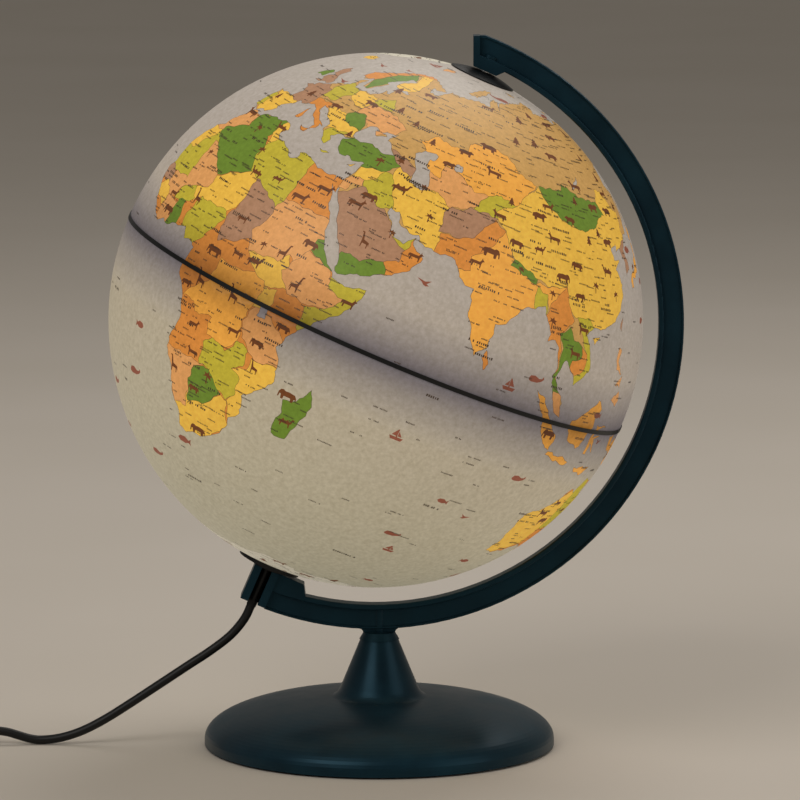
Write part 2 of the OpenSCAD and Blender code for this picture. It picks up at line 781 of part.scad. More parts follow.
module plug_boot() {
  color([0.07, 0.07, 0.07]) at_plug() translate([-plug_l / 2 - 24, 0, 0]) rotate([0, 90, 0])
    cylinder(r1 = cord_r + 0.3, r2 = 4.4, h = 24);
}

module plug_pins() {
  color([0.75, 0.74, 0.7]) at_plug() for (y = [-1, 1]) translate([plug_l / 2, y * plug_spread / 2, 0])
    rotate([0, 90, 0]) {
      rod(1.85, [0, 10]);
      rod(2, [10, 18.2]);
      translate([0, 0, 18]) cylinder(r1 = 2, r2 = 1.3, h = 1);
    }
}

module pin_sleeves() {
  color([0.08, 0.08, 0.08]) at_plug() for (y = [-1, 1]) translate([plug_l / 2, y * plug_spread / 2, 0])
    rotate([0, 90, 0]) ring([1.9, 2.2], [0, 10]);
}

base_shell();
base_ballast();
base_cover();
cover_screws();
foot_ring();
neck_screw();
neck_washer();
meridian_arc();
pivot_pin();
pivot_bush();
north_cap();
northern_hemisphere();
southern_hemisphere();
equator_band();
south_collar();
holder_stem();
stem_screw();
holder_body();
socket_insert();
socket_shell();
socket_contact();
bulb_cap();
bulb_glass();
bulb_mount();
bulb_filament();
lamp_lead();
lead_sleeve();
cord_to_switch();
switch_base();
switch_cover();
switch_rocker();
switch_contacts();
switch_screws();
switch_boots();
cord_to_coil();
cord_coil();
coil_tie();
cord_to_plug();
plug_body();
plug_boot();
plug_pins();
pin_sleeves();
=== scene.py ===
import json
import math

import bpy
import numpy as np
from mathutils import Matrix, Vector
from mathutils.geometry import delaunay_2d_cdt


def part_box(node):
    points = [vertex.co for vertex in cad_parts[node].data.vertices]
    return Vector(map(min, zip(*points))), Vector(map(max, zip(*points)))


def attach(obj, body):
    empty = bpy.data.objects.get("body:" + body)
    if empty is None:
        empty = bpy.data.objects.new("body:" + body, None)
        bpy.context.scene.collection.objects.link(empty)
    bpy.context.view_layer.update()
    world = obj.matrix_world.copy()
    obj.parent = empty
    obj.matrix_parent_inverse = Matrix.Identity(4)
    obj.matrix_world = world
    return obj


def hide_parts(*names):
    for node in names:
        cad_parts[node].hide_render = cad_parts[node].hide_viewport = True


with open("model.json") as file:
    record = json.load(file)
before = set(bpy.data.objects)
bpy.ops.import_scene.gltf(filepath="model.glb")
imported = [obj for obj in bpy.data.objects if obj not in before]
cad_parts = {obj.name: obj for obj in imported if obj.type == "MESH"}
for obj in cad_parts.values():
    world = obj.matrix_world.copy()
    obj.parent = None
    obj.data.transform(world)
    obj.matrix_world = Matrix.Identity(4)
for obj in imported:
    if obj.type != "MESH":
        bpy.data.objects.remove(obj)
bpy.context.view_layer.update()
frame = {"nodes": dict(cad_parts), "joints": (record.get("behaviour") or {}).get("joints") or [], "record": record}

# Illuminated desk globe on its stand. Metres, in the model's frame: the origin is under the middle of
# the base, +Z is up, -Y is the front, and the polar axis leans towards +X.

MM = 0.001
nodes = frame["nodes"]
joints = {joint["name"]: joint for joint in frame["joints"]}
SPIN = joints["globe_spin"]
GLOBE_CENTRE = np.array(SPIN["pos_m"])
AXIS = np.array(SPIN["axis"]) / np.linalg.norm(SPIN["axis"])
low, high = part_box("northern_hemisphere")
GLOBE_R = (high.y - low.y) / 2
LEAN = math.atan2(AXIS[0], AXIS[2])
scene = bpy.context.scene
scene.view_settings.view_transform = "Standard"


# ---- camera

camera_data = bpy.data.cameras.new("camera")
camera_data.lens = 280.5
camera_data.sensor_width = 36
camera_data.clip_end = 60
camera = bpy.data.objects.new("camera", camera_data)
camera.location = (0.0117, -3.4693, 0.7054)
camera.rotation_euler = (math.radians(81.668), 0, 0)
scene.collection.objects.link(camera)
scene.camera = camera


# ---- meshes

def put_mesh(name, vertices, faces, body, material):
    """A mesh object from an array of points and lists of corners, riding on a body."""
    mesh = bpy.data.meshes.new(name)
    mesh.from_pydata(np.asarray(vertices).tolist(), [], [list(face) for face in faces])
    mesh.update()
    mesh.polygons.foreach_set("use_smooth", np.full(len(mesh.polygons), True))
    mesh.materials.append(material)
    piece = bpy.data.objects.new(name, mesh)
    scene.collection.objects.link(piece)
    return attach(piece, body)


def grid_faces(rows, columns):
    """Four corners for each cell of a grid of points that closes on itself along its columns."""
    i, j = np.meshgrid(np.arange(rows - 1), np.arange(columns), indexing="ij")
    following = (j + 1) % columns
    corners = [i * columns + j, i * columns + following, (i + 1) * columns + following, (i + 1) * columns + j]
    return np.stack(corners, axis=-1).reshape(-1, 4)


def tube(name, line, radius, sides, body, material):
    """A closed round tube: at each point of the line, a circle in the plane of the two directions that
    are square to the line, one of them level."""
    line = np.asarray(line)
    along = np.gradient(line, axis=0)
    along /= np.linalg.norm(along, axis=1, keepdims=True)
    level = np.cross(along, (0, 0, 1))
    level /= np.linalg.norm(level, axis=1, keepdims=True)
    upward = np.cross(level, along)
    turn = np.linspace(0, 2 * np.pi, sides, endpoint=False)[None, :, None]
    rings = line[:, None] + radius * (np.cos(turn) * level[:, None] + np.sin(turn) * upward[:, None])
    vertices = np.concatenate([rings.reshape(-1, 3), line[:1], line[-1:]])
    walls = grid_faces(len(line), sides)[:, ::-1]
    step = np.arange(sides)
    start, end = len(vertices) - 2, len(vertices) - 1
    last = (len(line) - 1) * sides
    first_cap = np.stack([np.full(sides, start), (step + 1) % sides, step], axis=1)
    last_cap = np.stack([np.full(sides, end), last + step, last + (step + 1) % sides], axis=1)
    faces = walls.tolist() + first_cap[:, ::-1].tolist() + last_cap[:, ::-1].tolist()
    return put_mesh(name, vertices, faces, body, material)


# ---- materials

def linear(code):
    """A hex colour as the linear values that a shader reads."""
    values = [int(code[i:i + 2], 16) / 255 for i in (1, 3, 5)]
    return [v / 12.92 if v <= 0.04045 else ((v + 0.055) / 1.055) ** 2.4 for v in values] + [1]


def add(tree, kind, inputs=None, stops=None, **settings):
    """Adds a node with its settings, and sets or links its inputs. Stops are a ramp's places and colours."""
    node = tree.nodes.new("ShaderNode" + kind)
    for name, value in settings.items():
        setattr(node, name, value)
    for name, value in (inputs or {}).items():
        if isinstance(value, bpy.types.NodeSocket):
            tree.links.new(value, node.inputs[name])
        else:
            node.inputs[name].default_value = value
    if stops:
        elements = node.color_ramp.elements
        while len(elements) < len(stops):
            elements.new(0.5)
        for element, (place, code) in zip(elements, stops):
            element.position = place
            element.color = linear(code)
    return node


def new_material(name):
    """An empty material with its shader joined to its output."""
    material = bpy.data.materials.new(name)
    material.use_nodes = True
    tree = material.node_tree
    tree.nodes.clear()
    shader = add(tree, "BsdfPrincipled")
    add(tree, "OutputMaterial", {"Surface": shader.outputs[0]})
    return material, tree, shader


def moulded(name, dark, light, roughness, grain_mm, grain_depth_mm,
            sheen=0.0, shine=0.3, glint="#ffffff"):
    """Injection moulded plastic: a spark-eroded skin of fine pits, faint clouding of the colour where
    the melt flowed, a gloss that varies a little from place to place, and the colour of its glints."""
    material, tree, shader = new_material(name)
    place = add(tree, "TexCoord").outputs["Object"]
    flow = add(tree, "TexNoise", {"Vector": place, "Scale": 1 / 0.035, "Detail": 4.0, "Roughness": 0.6})
    tone = add(tree, "ValToRGB", {"Fac": flow.outputs[0]}, [(0.32, dark), (0.7, light)])
    gloss = add(tree, "MapRange", {"Value": flow.outputs[0], "From Min": 0.3, "From Max": 0.7,
                                   "To Min": roughness - 0.05, "To Max": roughness + 0.06})
    pits = add(tree, "TexNoise", {"Vector": place, "Scale": 1 / (grain_mm * MM), "Detail": 3.0})
    skin = add(tree, "Bump", {"Height": pits.outputs[0], "Strength": 0.5, "Distance": grain_depth_mm * MM})
    tree.links.new(tone.outputs[0], shader.inputs["Base Color"])
    tree.links.new(gloss.outputs[0], shader.inputs["Roughness"])
    tree.links.new(skin.outputs[0], shader.inputs["Normal"])
    shader.inputs["IOR"].default_value = 1.53
    shader.inputs["Specular IOR Level"].default_value = shine
    shader.inputs["Specular Tint"].default_value = linear(glint)
    shader.inputs["Sheen Weight"].default_value = sheen
    return material


def metal(name, dark, light, roughness, scratch_mm):
    """Bare or plated metal: a clean reflection broken by fine scratches and a slight tarnish."""
    material, tree, shader = new_material(name)
    place = add(tree, "TexCoord").outputs["Object"]
    tarnish = add(tree, "TexNoise", {"Vector": place, "Scale": 1 / 0.012, "Detail": 5.0})
    tone = add(tree, "ValToRGB", {"Fac": tarnish.outputs[0]}, [(0.35, dark), (0.65, light)])
    scratches = add(tree, "TexNoise", {"Vector": place, "Scale": 1 / (scratch_mm * MM), "Detail": 2.0})
    gloss = add(tree, "MapRange", {"Value": scratches.outputs[0], "To Min": roughness * 0.7,
                                   "To Max": roughness * 1.4})
    skin = add(tree, "Bump", {"Height": scratches.outputs[0], "Strength": 0.25, "Distance": 0.02 * MM})
    tree.links.new(tone.outputs[0], shader.inputs["Base Color"])
    tree.links.new(gloss.outputs[0], shader.inputs["Roughness"])
    tree.links.new(skin.outputs[0], shader.inputs["Normal"])
    shader.inputs["Metallic"].default_value = 1.0
    return material


def glass(name, code, roughness):
    """Blown glass with a faint waviness, clear or etched."""
    material, tree, shader = new_material(name)
    place = add(tree, "TexCoord").outputs["Object"]
    waves = add(tree, "TexNoise", {"Vector": place, "Scale": 1 / 0.008})
    skin = add(tree, "Bump", {"Height": waves.outputs[0], "Strength": 0.2, "Distance": 0.05 * MM})
    tree.links.new(skin.outputs[0], shader.inputs["Normal"])
    shader.inputs["Base Color"].default_value = linear(code)
    shader.inputs["Roughness"].default_value = roughness
    shader.inputs["Transmission Weight"].default_value = 1.0
    shader.inputs["IOR"].default_value = 1.5
    return material


def printed_globe():
    """Printed and varnished plastic, lit from inside: the inks of the map glow, less so at the equator,
    where the two shells overlap and the lamp's light passes through both; the map's colour is darkened there too,
    as painted shade."""
    material, tree, shader = new_material("printed_and_varnished_styrene")
    ink = add(tree, "Attribute", attribute_name="ink").outputs["Color"]
    sea = add(tree, "Attribute", attribute_name="sea").outputs["Fac"]
    place = add(tree, "TexCoord").outputs["Object"]
    upright = Matrix.Rotation(-LEAN, 3, "Y")
    centred = add(tree, "Mapping", {"Vector": place, "Rotation": (0, -LEAN, 0),
                                    "Location": -(upright @ Vector(GLOBE_CENTRE))})
    height = add(tree, "SeparateXYZ", {"Vector": centred.outputs[0]}).outputs["Z"]
    share = add(tree, "MapRange", {"Value": height, "From Min": -GLOBE_R, "From Max": GLOBE_R}).outputs[0]
    # The sea's colour along the axis; its darker grey band at the equator is painted shade
    water = add(tree, "ValToRGB", {"Fac": share}, [
        (0.0, "#b0aa94"), (0.22, "#b3aa93"), (0.38, "#b0a590"), (0.5, "#979193"), (0.6, "#aa9f93"),
        (0.75, "#aaa097"), (1.0, "#aea59c")])
    surface = add(tree, "Mix", {0: sea, 6: ink, 7: water.outputs[0]}, data_type="RGBA").outputs[2]
    # Painted shade: the colour is darkened in a band at the equator, where the overlapping shells let less of the
    # lamp's light through, and a little towards the poles
    equator_shade = add(tree, "ValToRGB", {"Fac": share}, [
        (0.0, "#f4f4f4"), (0.4, "#fafafa"), (0.455, "#e2e0de"), (0.485, "#bdbabd"), (0.5, "#a8a6ac"),
        (0.515, "#b8b5b8"), (0.545, "#dddbd9"), (0.6, "#fafafa"), (1.0, "#f2f2f2")])
    shaded_surface = add(tree, "Mix", {0: 1.0, 6: surface, 7: equator_shade.outputs[0]},
                 data_type="RGBA", blend_type="MULTIPLY").outputs[2]
    screen = add(tree, "TexNoise", {"Vector": place, "Scale": 1 / 0.0025, "Detail": 5.0, "Roughness": 0.65})
    mottle = add(tree, "ValToRGB", {"Fac": screen.outputs[0]}, [(0.3, "#e4e2dc"), (0.7, "#ffffff")])
    final = add(tree, "Mix", {0: 1.0, 6: shaded_surface, 7: mottle.outputs[0]},
                data_type="RGBA", blend_type="MULTIPLY").outputs[2]
    varnish = add(tree, "TexNoise", {"Vector": place, "Scale": 1 / 0.004, "Detail": 2.0})
    skin = add(tree, "Bump", {"Height": varnish.outputs[0], "Strength": 0.12, "Distance": 0.05 * MM})
    tree.links.new(final, shader.inputs["Base Color"])
    tree.links.new(final, shader.inputs["Emission Color"])
    tree.links.new(skin.outputs[0], shader.inputs["Normal"])
    shader.inputs["Emission Strength"].default_value = 0.62
    shader.inputs["Roughness"].default_value = 0.48
    shader.inputs["Specular IOR Level"].default_value = 0.28
    shader.inputs["IOR"].default_value = 1.55
    return material


# Each finish with what it gives the eye
FINISHES = {
    # the stand: satin dark petrol blue, whose edges glint blue
    "petrol_abs": moulded("satin_moulded_petrol_abs", "#0e1e27", "#132c37", 0.36, 0.8, 0.03,
                          shine=0.42, glint="#7cb4d0"),
    # cap, collar, joint band, stem and switch: near black, fine pits, soft sheen
    "black_abs": moulded("satin_moulded_black_abs", "#08090a", "#0e1011", 0.42, 0.7, 0.03),
    # the ring in the base: dark grey, coarse and dull
    "cast_iron": metal("rough_cast_iron", "#3b3a39", "#5a5856", 0.6, 0.9),
    # screws and washers: pale grey with a dull shine
    "zinc_steel": metal("zinc_plated_steel", "#a9abad", "#c6c8ca", 0.35, 0.4),
    # the pivot pin: bright and nearly mirror smooth
    "polished_steel": metal("polished_steel", "#b8babb", "#d2d3d4", 0.16, 0.3),
    # the foot ring: matt black that takes no highlight
    "foot_rubber": moulded("matt_black_rubber", "#101010", "#1b1b1b", 0.8, 0.5, 0.05, 0.2),
    # the bush: waxy off-white
    "nylon": moulded("natural_nylon", "#cfccc0", "#dedbd0", 0.5, 0.6, 0.02),
    # the lamp holder: creamy white, satin
    "thermoset": moulded("moulded_white_thermoset", "#d8d5c9", "#e6e3d8", 0.45, 0.6, 0.02),
    # the socket insert: chalky white ceramic
    "steatite": moulded("unglazed_steatite", "#d9d5ca", "#e9e6dd", 0.7, 0.4, 0.04),
    # socket shell and contacts: warm yellow metal
    "brass": metal("stamped_brass", "#a5813e", "#c9a35a", 0.3, 0.35),
    # the plug's pins and the bulb's cap: warm grey, shiny
    "nickel": metal("nickel_plated_brass", "#a9a69f", "#c9c6bf", 0.22, 0.3),
    # the bulb: milky and soft
    "opal_glass": glass("etched_opal_glass", "#f4f0e6", 0.5),
    # the glass mount in the bulb: clear
    "clear_glass": glass("clear_lamp_glass", "#f2f6f6", 0.02),
    # the filament: dull grey wire
    "tungsten": metal("drawn_tungsten_wire", "#8f8a80", "#b1aca1", 0.3, 0.1),
    # the cord and plug: black with a long soft highlight
    "black_pvc": moulded("smooth_black_pvc", "#070707", "#0c0c0c", 0.45, 1.2, 0.03),
    # boots, sleeves and the coil's tie: black without a highlight
    "soft_pvc": moulded("matt_soft_black_pvc", "#090909", "#101010", 0.58, 0.6, 0.03),
    # the map: inks that glow through varnish
    "printed_globe": printed_globe(),
}
for part in frame["record"]["subparts"]:
    node = nodes[part["node"]]
    if not node.data.materials:
        node.data.materials.append(None)
    for held in node.material_slots:
        held.material = FINISHES[part["material_slot"]]


# ---- cord

CORD_D = 5 * MM
SWITCH_X, SWITCH_Z, SWITCH_L, BOOT_L = -262, 8, 60, 14
PLUG_X, PLUG_Y, PLUG_Z, PLUG_L, PLUG_BOOT_L = -267, 118, 6.85, 34, 24
EXIT = [-72.76, 0, 79.57]
TO_SWITCH = [
    EXIT, [-76.5, 0, 72], [-84, 0, 63], [-95, 0, 54.3], [-109, 0, 45], [-125, 0, 34.3],
    [-141, 0, 23.7], [-155, 0, 14.8], [-168, 0, 8], [-180, 0, 4], [-191, 0, 2.6], [-198, 0, 3.3],
    [-204.5, 0, 5.2], [-211, 0, 7.1], [SWITCH_X + SWITCH_L / 2 + BOOT_L, 0, SWITCH_Z],
]
TO_COIL = [
    [SWITCH_X - SWITCH_L / 2 - BOOT_L, 0, SWITCH_Z], [-312.5, 0.3, 7.9], [-319.5, 2.3, 7.2],
    [-326.9, 7.4, 5.6], [-332.4, 15.6, 4], [-334.3, 25.3, 3.3], [-334.3, 41, 3.3], [-334.3, 57, 3.3],
]
TO_PLUG = [
    [-334.3, 57, 8.4], [-334.3, 64.5, 7.5], [-334.3, 72, 5.5], [-334.3, 79.5, 3.5], [-334.3, 87, 2.7],
    [-333.8, 95, 2.7], [-331, 104, 3.4], [-325.5, 111.5, 4.9], [-317.5, 116.5, 6.3],
    [PLUG_X - PLUG_L / 2 - PLUG_BOOT_L, PLUG_Y, PLUG_Z],
]
COIL_CENTRE = np.array([-298, 57])
TURN_RADII = [36.3, 31.2, 26.1, 21, 21, 26.1, 31.2, 36.3]
TURN_HEIGHTS = [3.3] * 4 + [8.4] * 4
STEADY = 0.75  # the share of a turn that keeps its radius


def smooth_line(points, per_span):
    """A smooth curve through the points: each span is the cubic whose slope at a point is half the
    step between its two neighbours."""
    p = np.array(points, float)
    p = np.vstack([p[:1], p, p[-1:]])
    a, b, c, d = (p[i:len(p) - 3 + i, None] for i in range(4))
    u = np.linspace(0, 1, per_span, endpoint=False)[None, :, None]
    spans = 0.5 * (2 * b + (c - a) * u + (2 * a - 5 * b + 4 * c - d) * u**2 + (3 * b - a - 3 * c + d) * u**3)
    return np.vstack([spans.reshape(-1, 3), p[-1:]])


def coil_line(per_turn):
    """Flat spirals on each other, clockwise from above: each turn keeps its radius for a share of the way
    round, then eases over to the next turn's radius and height by the curve t t (3 - 2 t)."""
    u = np.arange(1, len(TURN_RADII) * per_turn) / per_turn
    k = np.minimum(u.astype(int), len(TURN_RADII) - 1)
    following = np.minimum(k + 1, len(TURN_RADII) - 1)
    over = np.clip((u - k - STEADY) / (1 - STEADY), 0, 1)
    over = over * over * (3 - 2 * over)
    radius = np.take(TURN_RADII, k) * (1 - over) + np.take(TURN_RADII, following) * over
    height = np.take(TURN_HEIGHTS, k) * (1 - over) + np.take(TURN_HEIGHTS, following) * over
    angle = np.pi - 2 * np.pi * u
    x = COIL_CENTRE[0] + radius * np.cos(angle)
    y = COIL_CENTRE[1] + radius * np.sin(angle)
    return np.stack([x, y, height], axis=1)


cord_line = np.vstack([smooth_line(TO_SWITCH, 8), smooth_line(TO_COIL, 6), coil_line(64),
                       smooth_line(TO_PLUG, 6)]) * MM
mains_cord = tube("mains_cord", cord_line, CORD_D / 2, 16, "stand", FINISHES["black_pvc"])
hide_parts("cord_to_switch", "cord_to_coil", "cord_coil", "cord_to_plug")


# ---- map

# Outlines are longitude,latitude pairs in degrees, with only the corners that a coast or border needs.
COASTS = {
    "africa": ("orange", "-6,35.8 -2,35.2 1,36.6 5,36.8 10,37.3 11,35.5 10,34 11,33.1 15,32.3 18.5,30.3 "
        "20,30.8 20,32.5 23,32.7 25,31.6 29,30.9 32,31.4 32.6,30 33.8,27.2 35.5,24 37.2,21 37.5,18.5 "
        "39.5,15.5 42.7,12.5 43.3,11.5 46,10.7 51.2,11.8 50.8,9.3 48,4.8 44,1.1 41,-2 39.5,-4.5 38.8,-6.5 "
        "40.5,-10.5 40.7,-14.5 36.9,-17.9 34.8,-19.8 35.4,-23.8 32.8,-25.8 32.5,-28.5 30.5,-31 27,-33.6 "
        "22,-34.2 20,-34.8 18.4,-34 18.2,-31.8 16.5,-28.6 15,-26.5 14.5,-22.8 12,-18 11.8,-15.8 13.7,-11 "
        "13.2,-8.8 12.2,-5.8 9.3,-2.3 8.8,-0.7 9.6,1 9.7,3.5 8.7,4.6 6,4.3 4.5,6.3 1.2,6 -2,4.8 -4,5.2 "
        "-7.6,4.4 -11.4,6.9 -13.2,8.8 -15,11 -16.8,12.5 -17.5,14.7 -16.3,16.5 -16.5,19.3 -17,21 -15.8,23.9 "
        "-13,27.7 -10,29.6 -9.7,31.5 -7.6,33.6"),
    "eurasia": ("tan", "-5.5,36 -9,37 -9.4,39 -8.7,42 -9,43.2 -2,43.4 -1.3,44.5 -1.2,46 -2.5,47.3 "
        "-4.7,48.3 -1.5,48.7 -1.8,49.7 1.5,50.8 4,52 5,53.2 8.2,53.8 8.2,57 10.6,57.7 10,55.5 11,54 14,54 "
        "18.7,54.5 21,55.3 21.5,57.5 24,57 23.5,59.2 28,59.6 30,60 28,60.5 23,60 21.4,61 21.5,63 25.4,65 "
        "24,65.8 22,65.5 21,63.8 17.5,61.5 17.2,60.6 18.8,59.7 16.5,57.5 16,56.2 14.2,55.4 12.8,55.4 "
        "11.2,59 10.5,59.3 8,58 5.5,58.7 5,61.5 10,64 14,67 18,69.5 25.7,71 31,70.3 41,67.3 38,66.2 "
        "34.5,66.5 34.8,64.5 38,64 40,65 42,66.5 44,68.3 46,67.8 53.5,68.5 60,69.5 67,69 67,71.5 70,73.2 "
        "72.8,72.5 73,69 74,72.7 80,73.5 87,75 100,76.3 105,77.6 113,75.8 109,73.7 114,73.7 127,73 130,71 "
        "140,72.5 150,71.5 160,69.7 170,69 180,68.8 190,66.2 185,65 180,64.8 178,62.5 170,60 163.5,59.9 "
        "163,58 162,56 160,53 156.7,51.2 156,54 156,57.5 161,60.5 163.5,62.5 160,61.8 155,59.3 143,59.3 "
        "137,54.3 141,53 140.5,50 140,47.5 135,43.5 131,42.7 129.5,41 127.5,39.7 129.4,37 129.2,35.3 "
        "126.5,34.4 126.6,37 125,38 124.5,40 121.5,39 121.8,40.8 118,39 119,37.2 122.3,37 119.3,35 "
        "121.8,32 122,29.5 119.5,25.5 115,22.6 110.5,21.3 108,21.6 106,19.5 108.8,15.5 109.3,12 107,10.4 "
        "105,8.7 104.8,10.2 102.5,12 100.9,13.4 99.9,11.7 99.3,9.3 100.5,7.2 103.4,4.5 104.2,1.3 103.3,1.4 "
        "101.3,2.9 100.3,5.5 98.3,8 98.7,11.5 97.6,15.5 96,16.5 94.3,16 94.3,18.5 92.2,21.3 91.5,22.6 "
        "89,21.7 87,21.4 85,19.5 82.3,16.6 80.2,15.5 80.2,13 79.8,10.3 78.2,9 77.5,8.1 76.3,10 74.8,13 "
        "73.4,16 72.8,19 72.8,21.2 70.8,20.8 69,22.3 67.4,24 66.5,25.4 61.5,25.1 57.3,25.7 56.8,27.1 "
        "54.5,26.6 51.5,27.9 50.2,30 48,30 48.2,29 50,26.7 50.2,25.5 50.8,24.8 51.3,26 51.6,24.3 54,24.1 "
        "56.3,26.2 56.6,24.4 58.7,23.6 59.8,22.4 57.8,19 55.3,17.5 52.2,15.6 48,14 45,12.8 43.4,12.7 "
        "42.8,15.5 42.5,17 39.2,21 38,24 35,28 34.8,29.4 34.2,27.8 32.6,29.9 32.3,31.2 34.3,31.4 35.1,33 "
        "36,35.8 36,36.9 34,36.2 30.7,36.8 30.5,36.2 28,36.8 27.3,37.2 26.5,39 26.5,40.1 29,41.1 31.5,41.3 "
        "35,42 38,41 41.5,41.5 39.5,43.6 37.5,44.8 39,47.2 35,46 33.5,46 36.5,45.4 34,44.4 32.5,45.4 "
        "33.3,46.1 30.7,46.5 28.7,44.5 28,42 29,41.2 27.5,40.8 23.8,40.5 22.8,39.5 24,38 22.8,36.5 "
        "21.2,37.8 19.5,40 19.4,41.8 15.5,43.8 13.6,45.3 12.3,45.2 12.4,44.2 14.3,42.3 18.4,40.3 16.9,40.4 "
        "17.1,39 15.7,38 16,39.8 12.3,41.8 10.3,43.8 8.8,44.4 6.5,43.1 3.2,43.3 3.2,41.8 0.5,40.6 "
        "-0.3,39.3 0.1,38.7 -2,36.8 -4.4,36.7"),
    "britain": ("mauve", "-5.5,50.1 1.4,51.2 1.7,52.7 0.2,53.3 -1.6,55.5 -2,57.6 -4.8,58.6 -6,56.7 "
        "-4.9,54.8 -3,53.9 -4.5,53 -5,51.7 -3,51.4"),
    "ireland": ("green", "-10,52 -6.3,52.2 -5.7,54.6 -8,55.3 -10,54"),
    "iceland": ("yellow", "-24,65.5 -22.5,66.4 -16,66.5 -13.6,65 -18.7,63.4 -22.6,63.9"),
    "sicily": ("orange", "12.5,38 15.5,38.2 15.1,36.8"),
    "sardinia": ("orange", "8.3,39 9.7,39.3 9.5,43 8.4,41"),
    "cyprus": ("yellow", "32.3,35 34.5,35.6 33.5,34.6"),
    "crete": ("lime", "23.5,35.3 25,35.6 26.3,35.2 25,34.9"),
    "novaya": ("tan", "52,71 58,71 69,76.8 62,76.3 55,73.5"),
    "svalbard": ("peach", "12,79 16,76.8 25,79 20,80.5"),
    "severnaya": ("tan", "95,79.5 105,79 97,81"),
    "new_siberia": ("tan", "138,75.5 150,75 142,74"),
    "madagascar": ("green", "49.3,-12 50.4,-15.7 47.2,-24.9 44,-24.8 43.3,-22 44.5,-20 44.2,-16.5 47,-15.3"),
    "lanka": ("orange", "80,9.7 81.8,7.5 80.6,6 79.8,8"),
    "sumatra": ("amber", "95.3,5.6 98,4.3 100.5,2 103.8,-1 106,-3.2 105.8,-5.8 104.3,-5.8 101.5,-3.2 "
        "98.7,1.7"),
    "java": ("amber", "105.3,-6.8 106,-6 108.6,-6.7 112.5,-6.9 114.5,-7.8 114.3,-8.6 108,-7.8"),
    "borneo": ("amber", "109,1.5 111.5,2.5 114,4.5 117,7 119,5.2 117.7,3 118,1 116.5,-1.3 116,-3.8 "
        "114.5,-4.1 110.2,-2.9 109,-0.5"),
    "sulawesi": ("amber", "119.5,-5.5 120.5,-5.5 120.3,-2.8 123,-4.8 121.3,-1.8 123.3,-0.9 120.2,-1 "
        "120.2,0.4 124.8,1.3 120.2,1.5 118.9,-2.5"),
    "timor": ("amber", "119,-8.7 123,-8.3 127,-8.4 124,-10.2 120,-9.6"),
    "guinea": ("amber", "131,-0.8 134,-0.8 135,-3.3 138,-1.7 141,-2.6 145.8,-5 147.8,-6.2 150.8,-10.5 "
        "147,-9.5 143.5,-8.7 138,-8.2 137.8,-5 133,-4 132,-2.8"),
    "luzon": ("peach", "120.3,16 120.7,18.5 122.2,18.4 121.5,15.5 124,13 121,13.8"),
    "mindanao": ("peach", "122,7 125.5,9.7 126.3,7 125.4,5.8 124,6.9"),
    "visayas": ("peach", "122,10.7 124.8,12.4 125,10.2"),
    "taiwan": ("mauve", "120.1,23 121.5,25.2 121.5,24 120.8,22"),
    "hainan": ("yellow", "108.7,19 110.8,20 109.6,18.2"),
    "honshu": ("amber", "130,31.3 131.5,31.5 132,33.7 135.7,33.6 137,34.6 140,35.2 141,38.3 141.5,41.3 "
        "140.2,41 139.5,38.3 136.8,37 136,35.6 131,34.4 129.7,33"),
    "hokkaido": ("amber", "140,41.6 143.3,42 145.5,43.3 141.8,45.4 141,43"),
    "sakhalin": ("tan", "142,46 143.5,46.8 143.3,49.5 144.5,49 143,54.2 142,52"),
    "australia": ("orange", "113.8,-22 114.2,-26 115.7,-31.5 115,-34.3 118,-35 123.5,-33.9 129,-31.6 "
        "134,-32.8 136,-34.8 137.8,-33 138,-35.6 140.5,-38 145,-38.3 147,-38.8 150,-37.3 153,-32 153.3,-27 "
        "150.8,-23.5 146.5,-19 145.3,-15 143.5,-14 142.5,-10.8 141.6,-13.5 141,-17 139.3,-17.5 135.5,-15 "
        "136.8,-12.2 132.7,-11.4 130.5,-12.6 129,-15 126,-14 122.3,-18 119,-20"),
    "tasmania": ("orange", "144.8,-40.8 148.3,-40.9 147,-43.6"),
    "zealand_north": ("green", "172.8,-34.5 175.5,-36.8 178.3,-37.8 176,-41.3 174,-39.3 175,-38"),
    "zealand_south": ("green", "172.7,-40.6 174.2,-41.7 171,-44.5 168.5,-46.6 166.6,-45.8 170,-43"),
    "north_america": ("peach", "-168,65.6 -162,66.5 -166,68.3 -156.6,71.3 -141,69.7 -128,70.2 -115,68.2 "
        "-108,68 -98,67.8 -95,71.8 -88,68.8 -82,69.6 -81.3,67 -86,66 -78,62.5 -73.5,62.3 -69.5,59 -65,60.3 "
        "-61.5,57 -56,52.3 -60,50.2 -66.5,50.2 -69,48.2 -64.5,48.9 -65,47 -61,45.7 -65.5,43.6 -67,45 "
        "-70,43.7 -70.7,41.7 -74,40.7 -75.5,38 -76,36.8 -75.6,35.3 -78,33.9 -81.2,31.5 -80.3,27 -80.4,25.2 "
        "-82,27 -83.8,30 -85.5,29.8 -89.5,30.2 -90.5,29.2 -94,29.6 -97.3,27.5 -97.7,22.5 -95.8,18.8 "
        "-94,18.2 -91,18.7 -90.4,21 -87,21.5 -87.8,18.3 -88.8,15.9 -83.3,15 -83.7,11 -81.5,9 -79.5,9.6 "
        "-77.4,8.7 -80,7.4 -83.5,8.4 -85.8,10.2 -87.6,12.9 -91.8,14 -94.5,16.2 -96.5,15.7 -101.8,17.8 "
        "-105.5,20.3 -105.6,22.8 -109.4,26.5 -112.8,30.2 -114.8,31.6 -112.7,27.8 -109.5,23.1 -112,25.5 "
        "-115,28 -116,30.2 -117.2,32.6 -120.6,34.6 -122.4,37.2 -124.3,40.3 -124,46 -124.7,48.4 -122.5,48 "
        "-127.5,51 -130.5,54.5 -134,58 -139.7,59.6 -146,60.8 -151.8,59.2 -151,61 -154,58.8 -163.5,54.8 "
        "-158.5,57.8 -162,59 -165.3,61 -164.5,63 -161,64.5"),
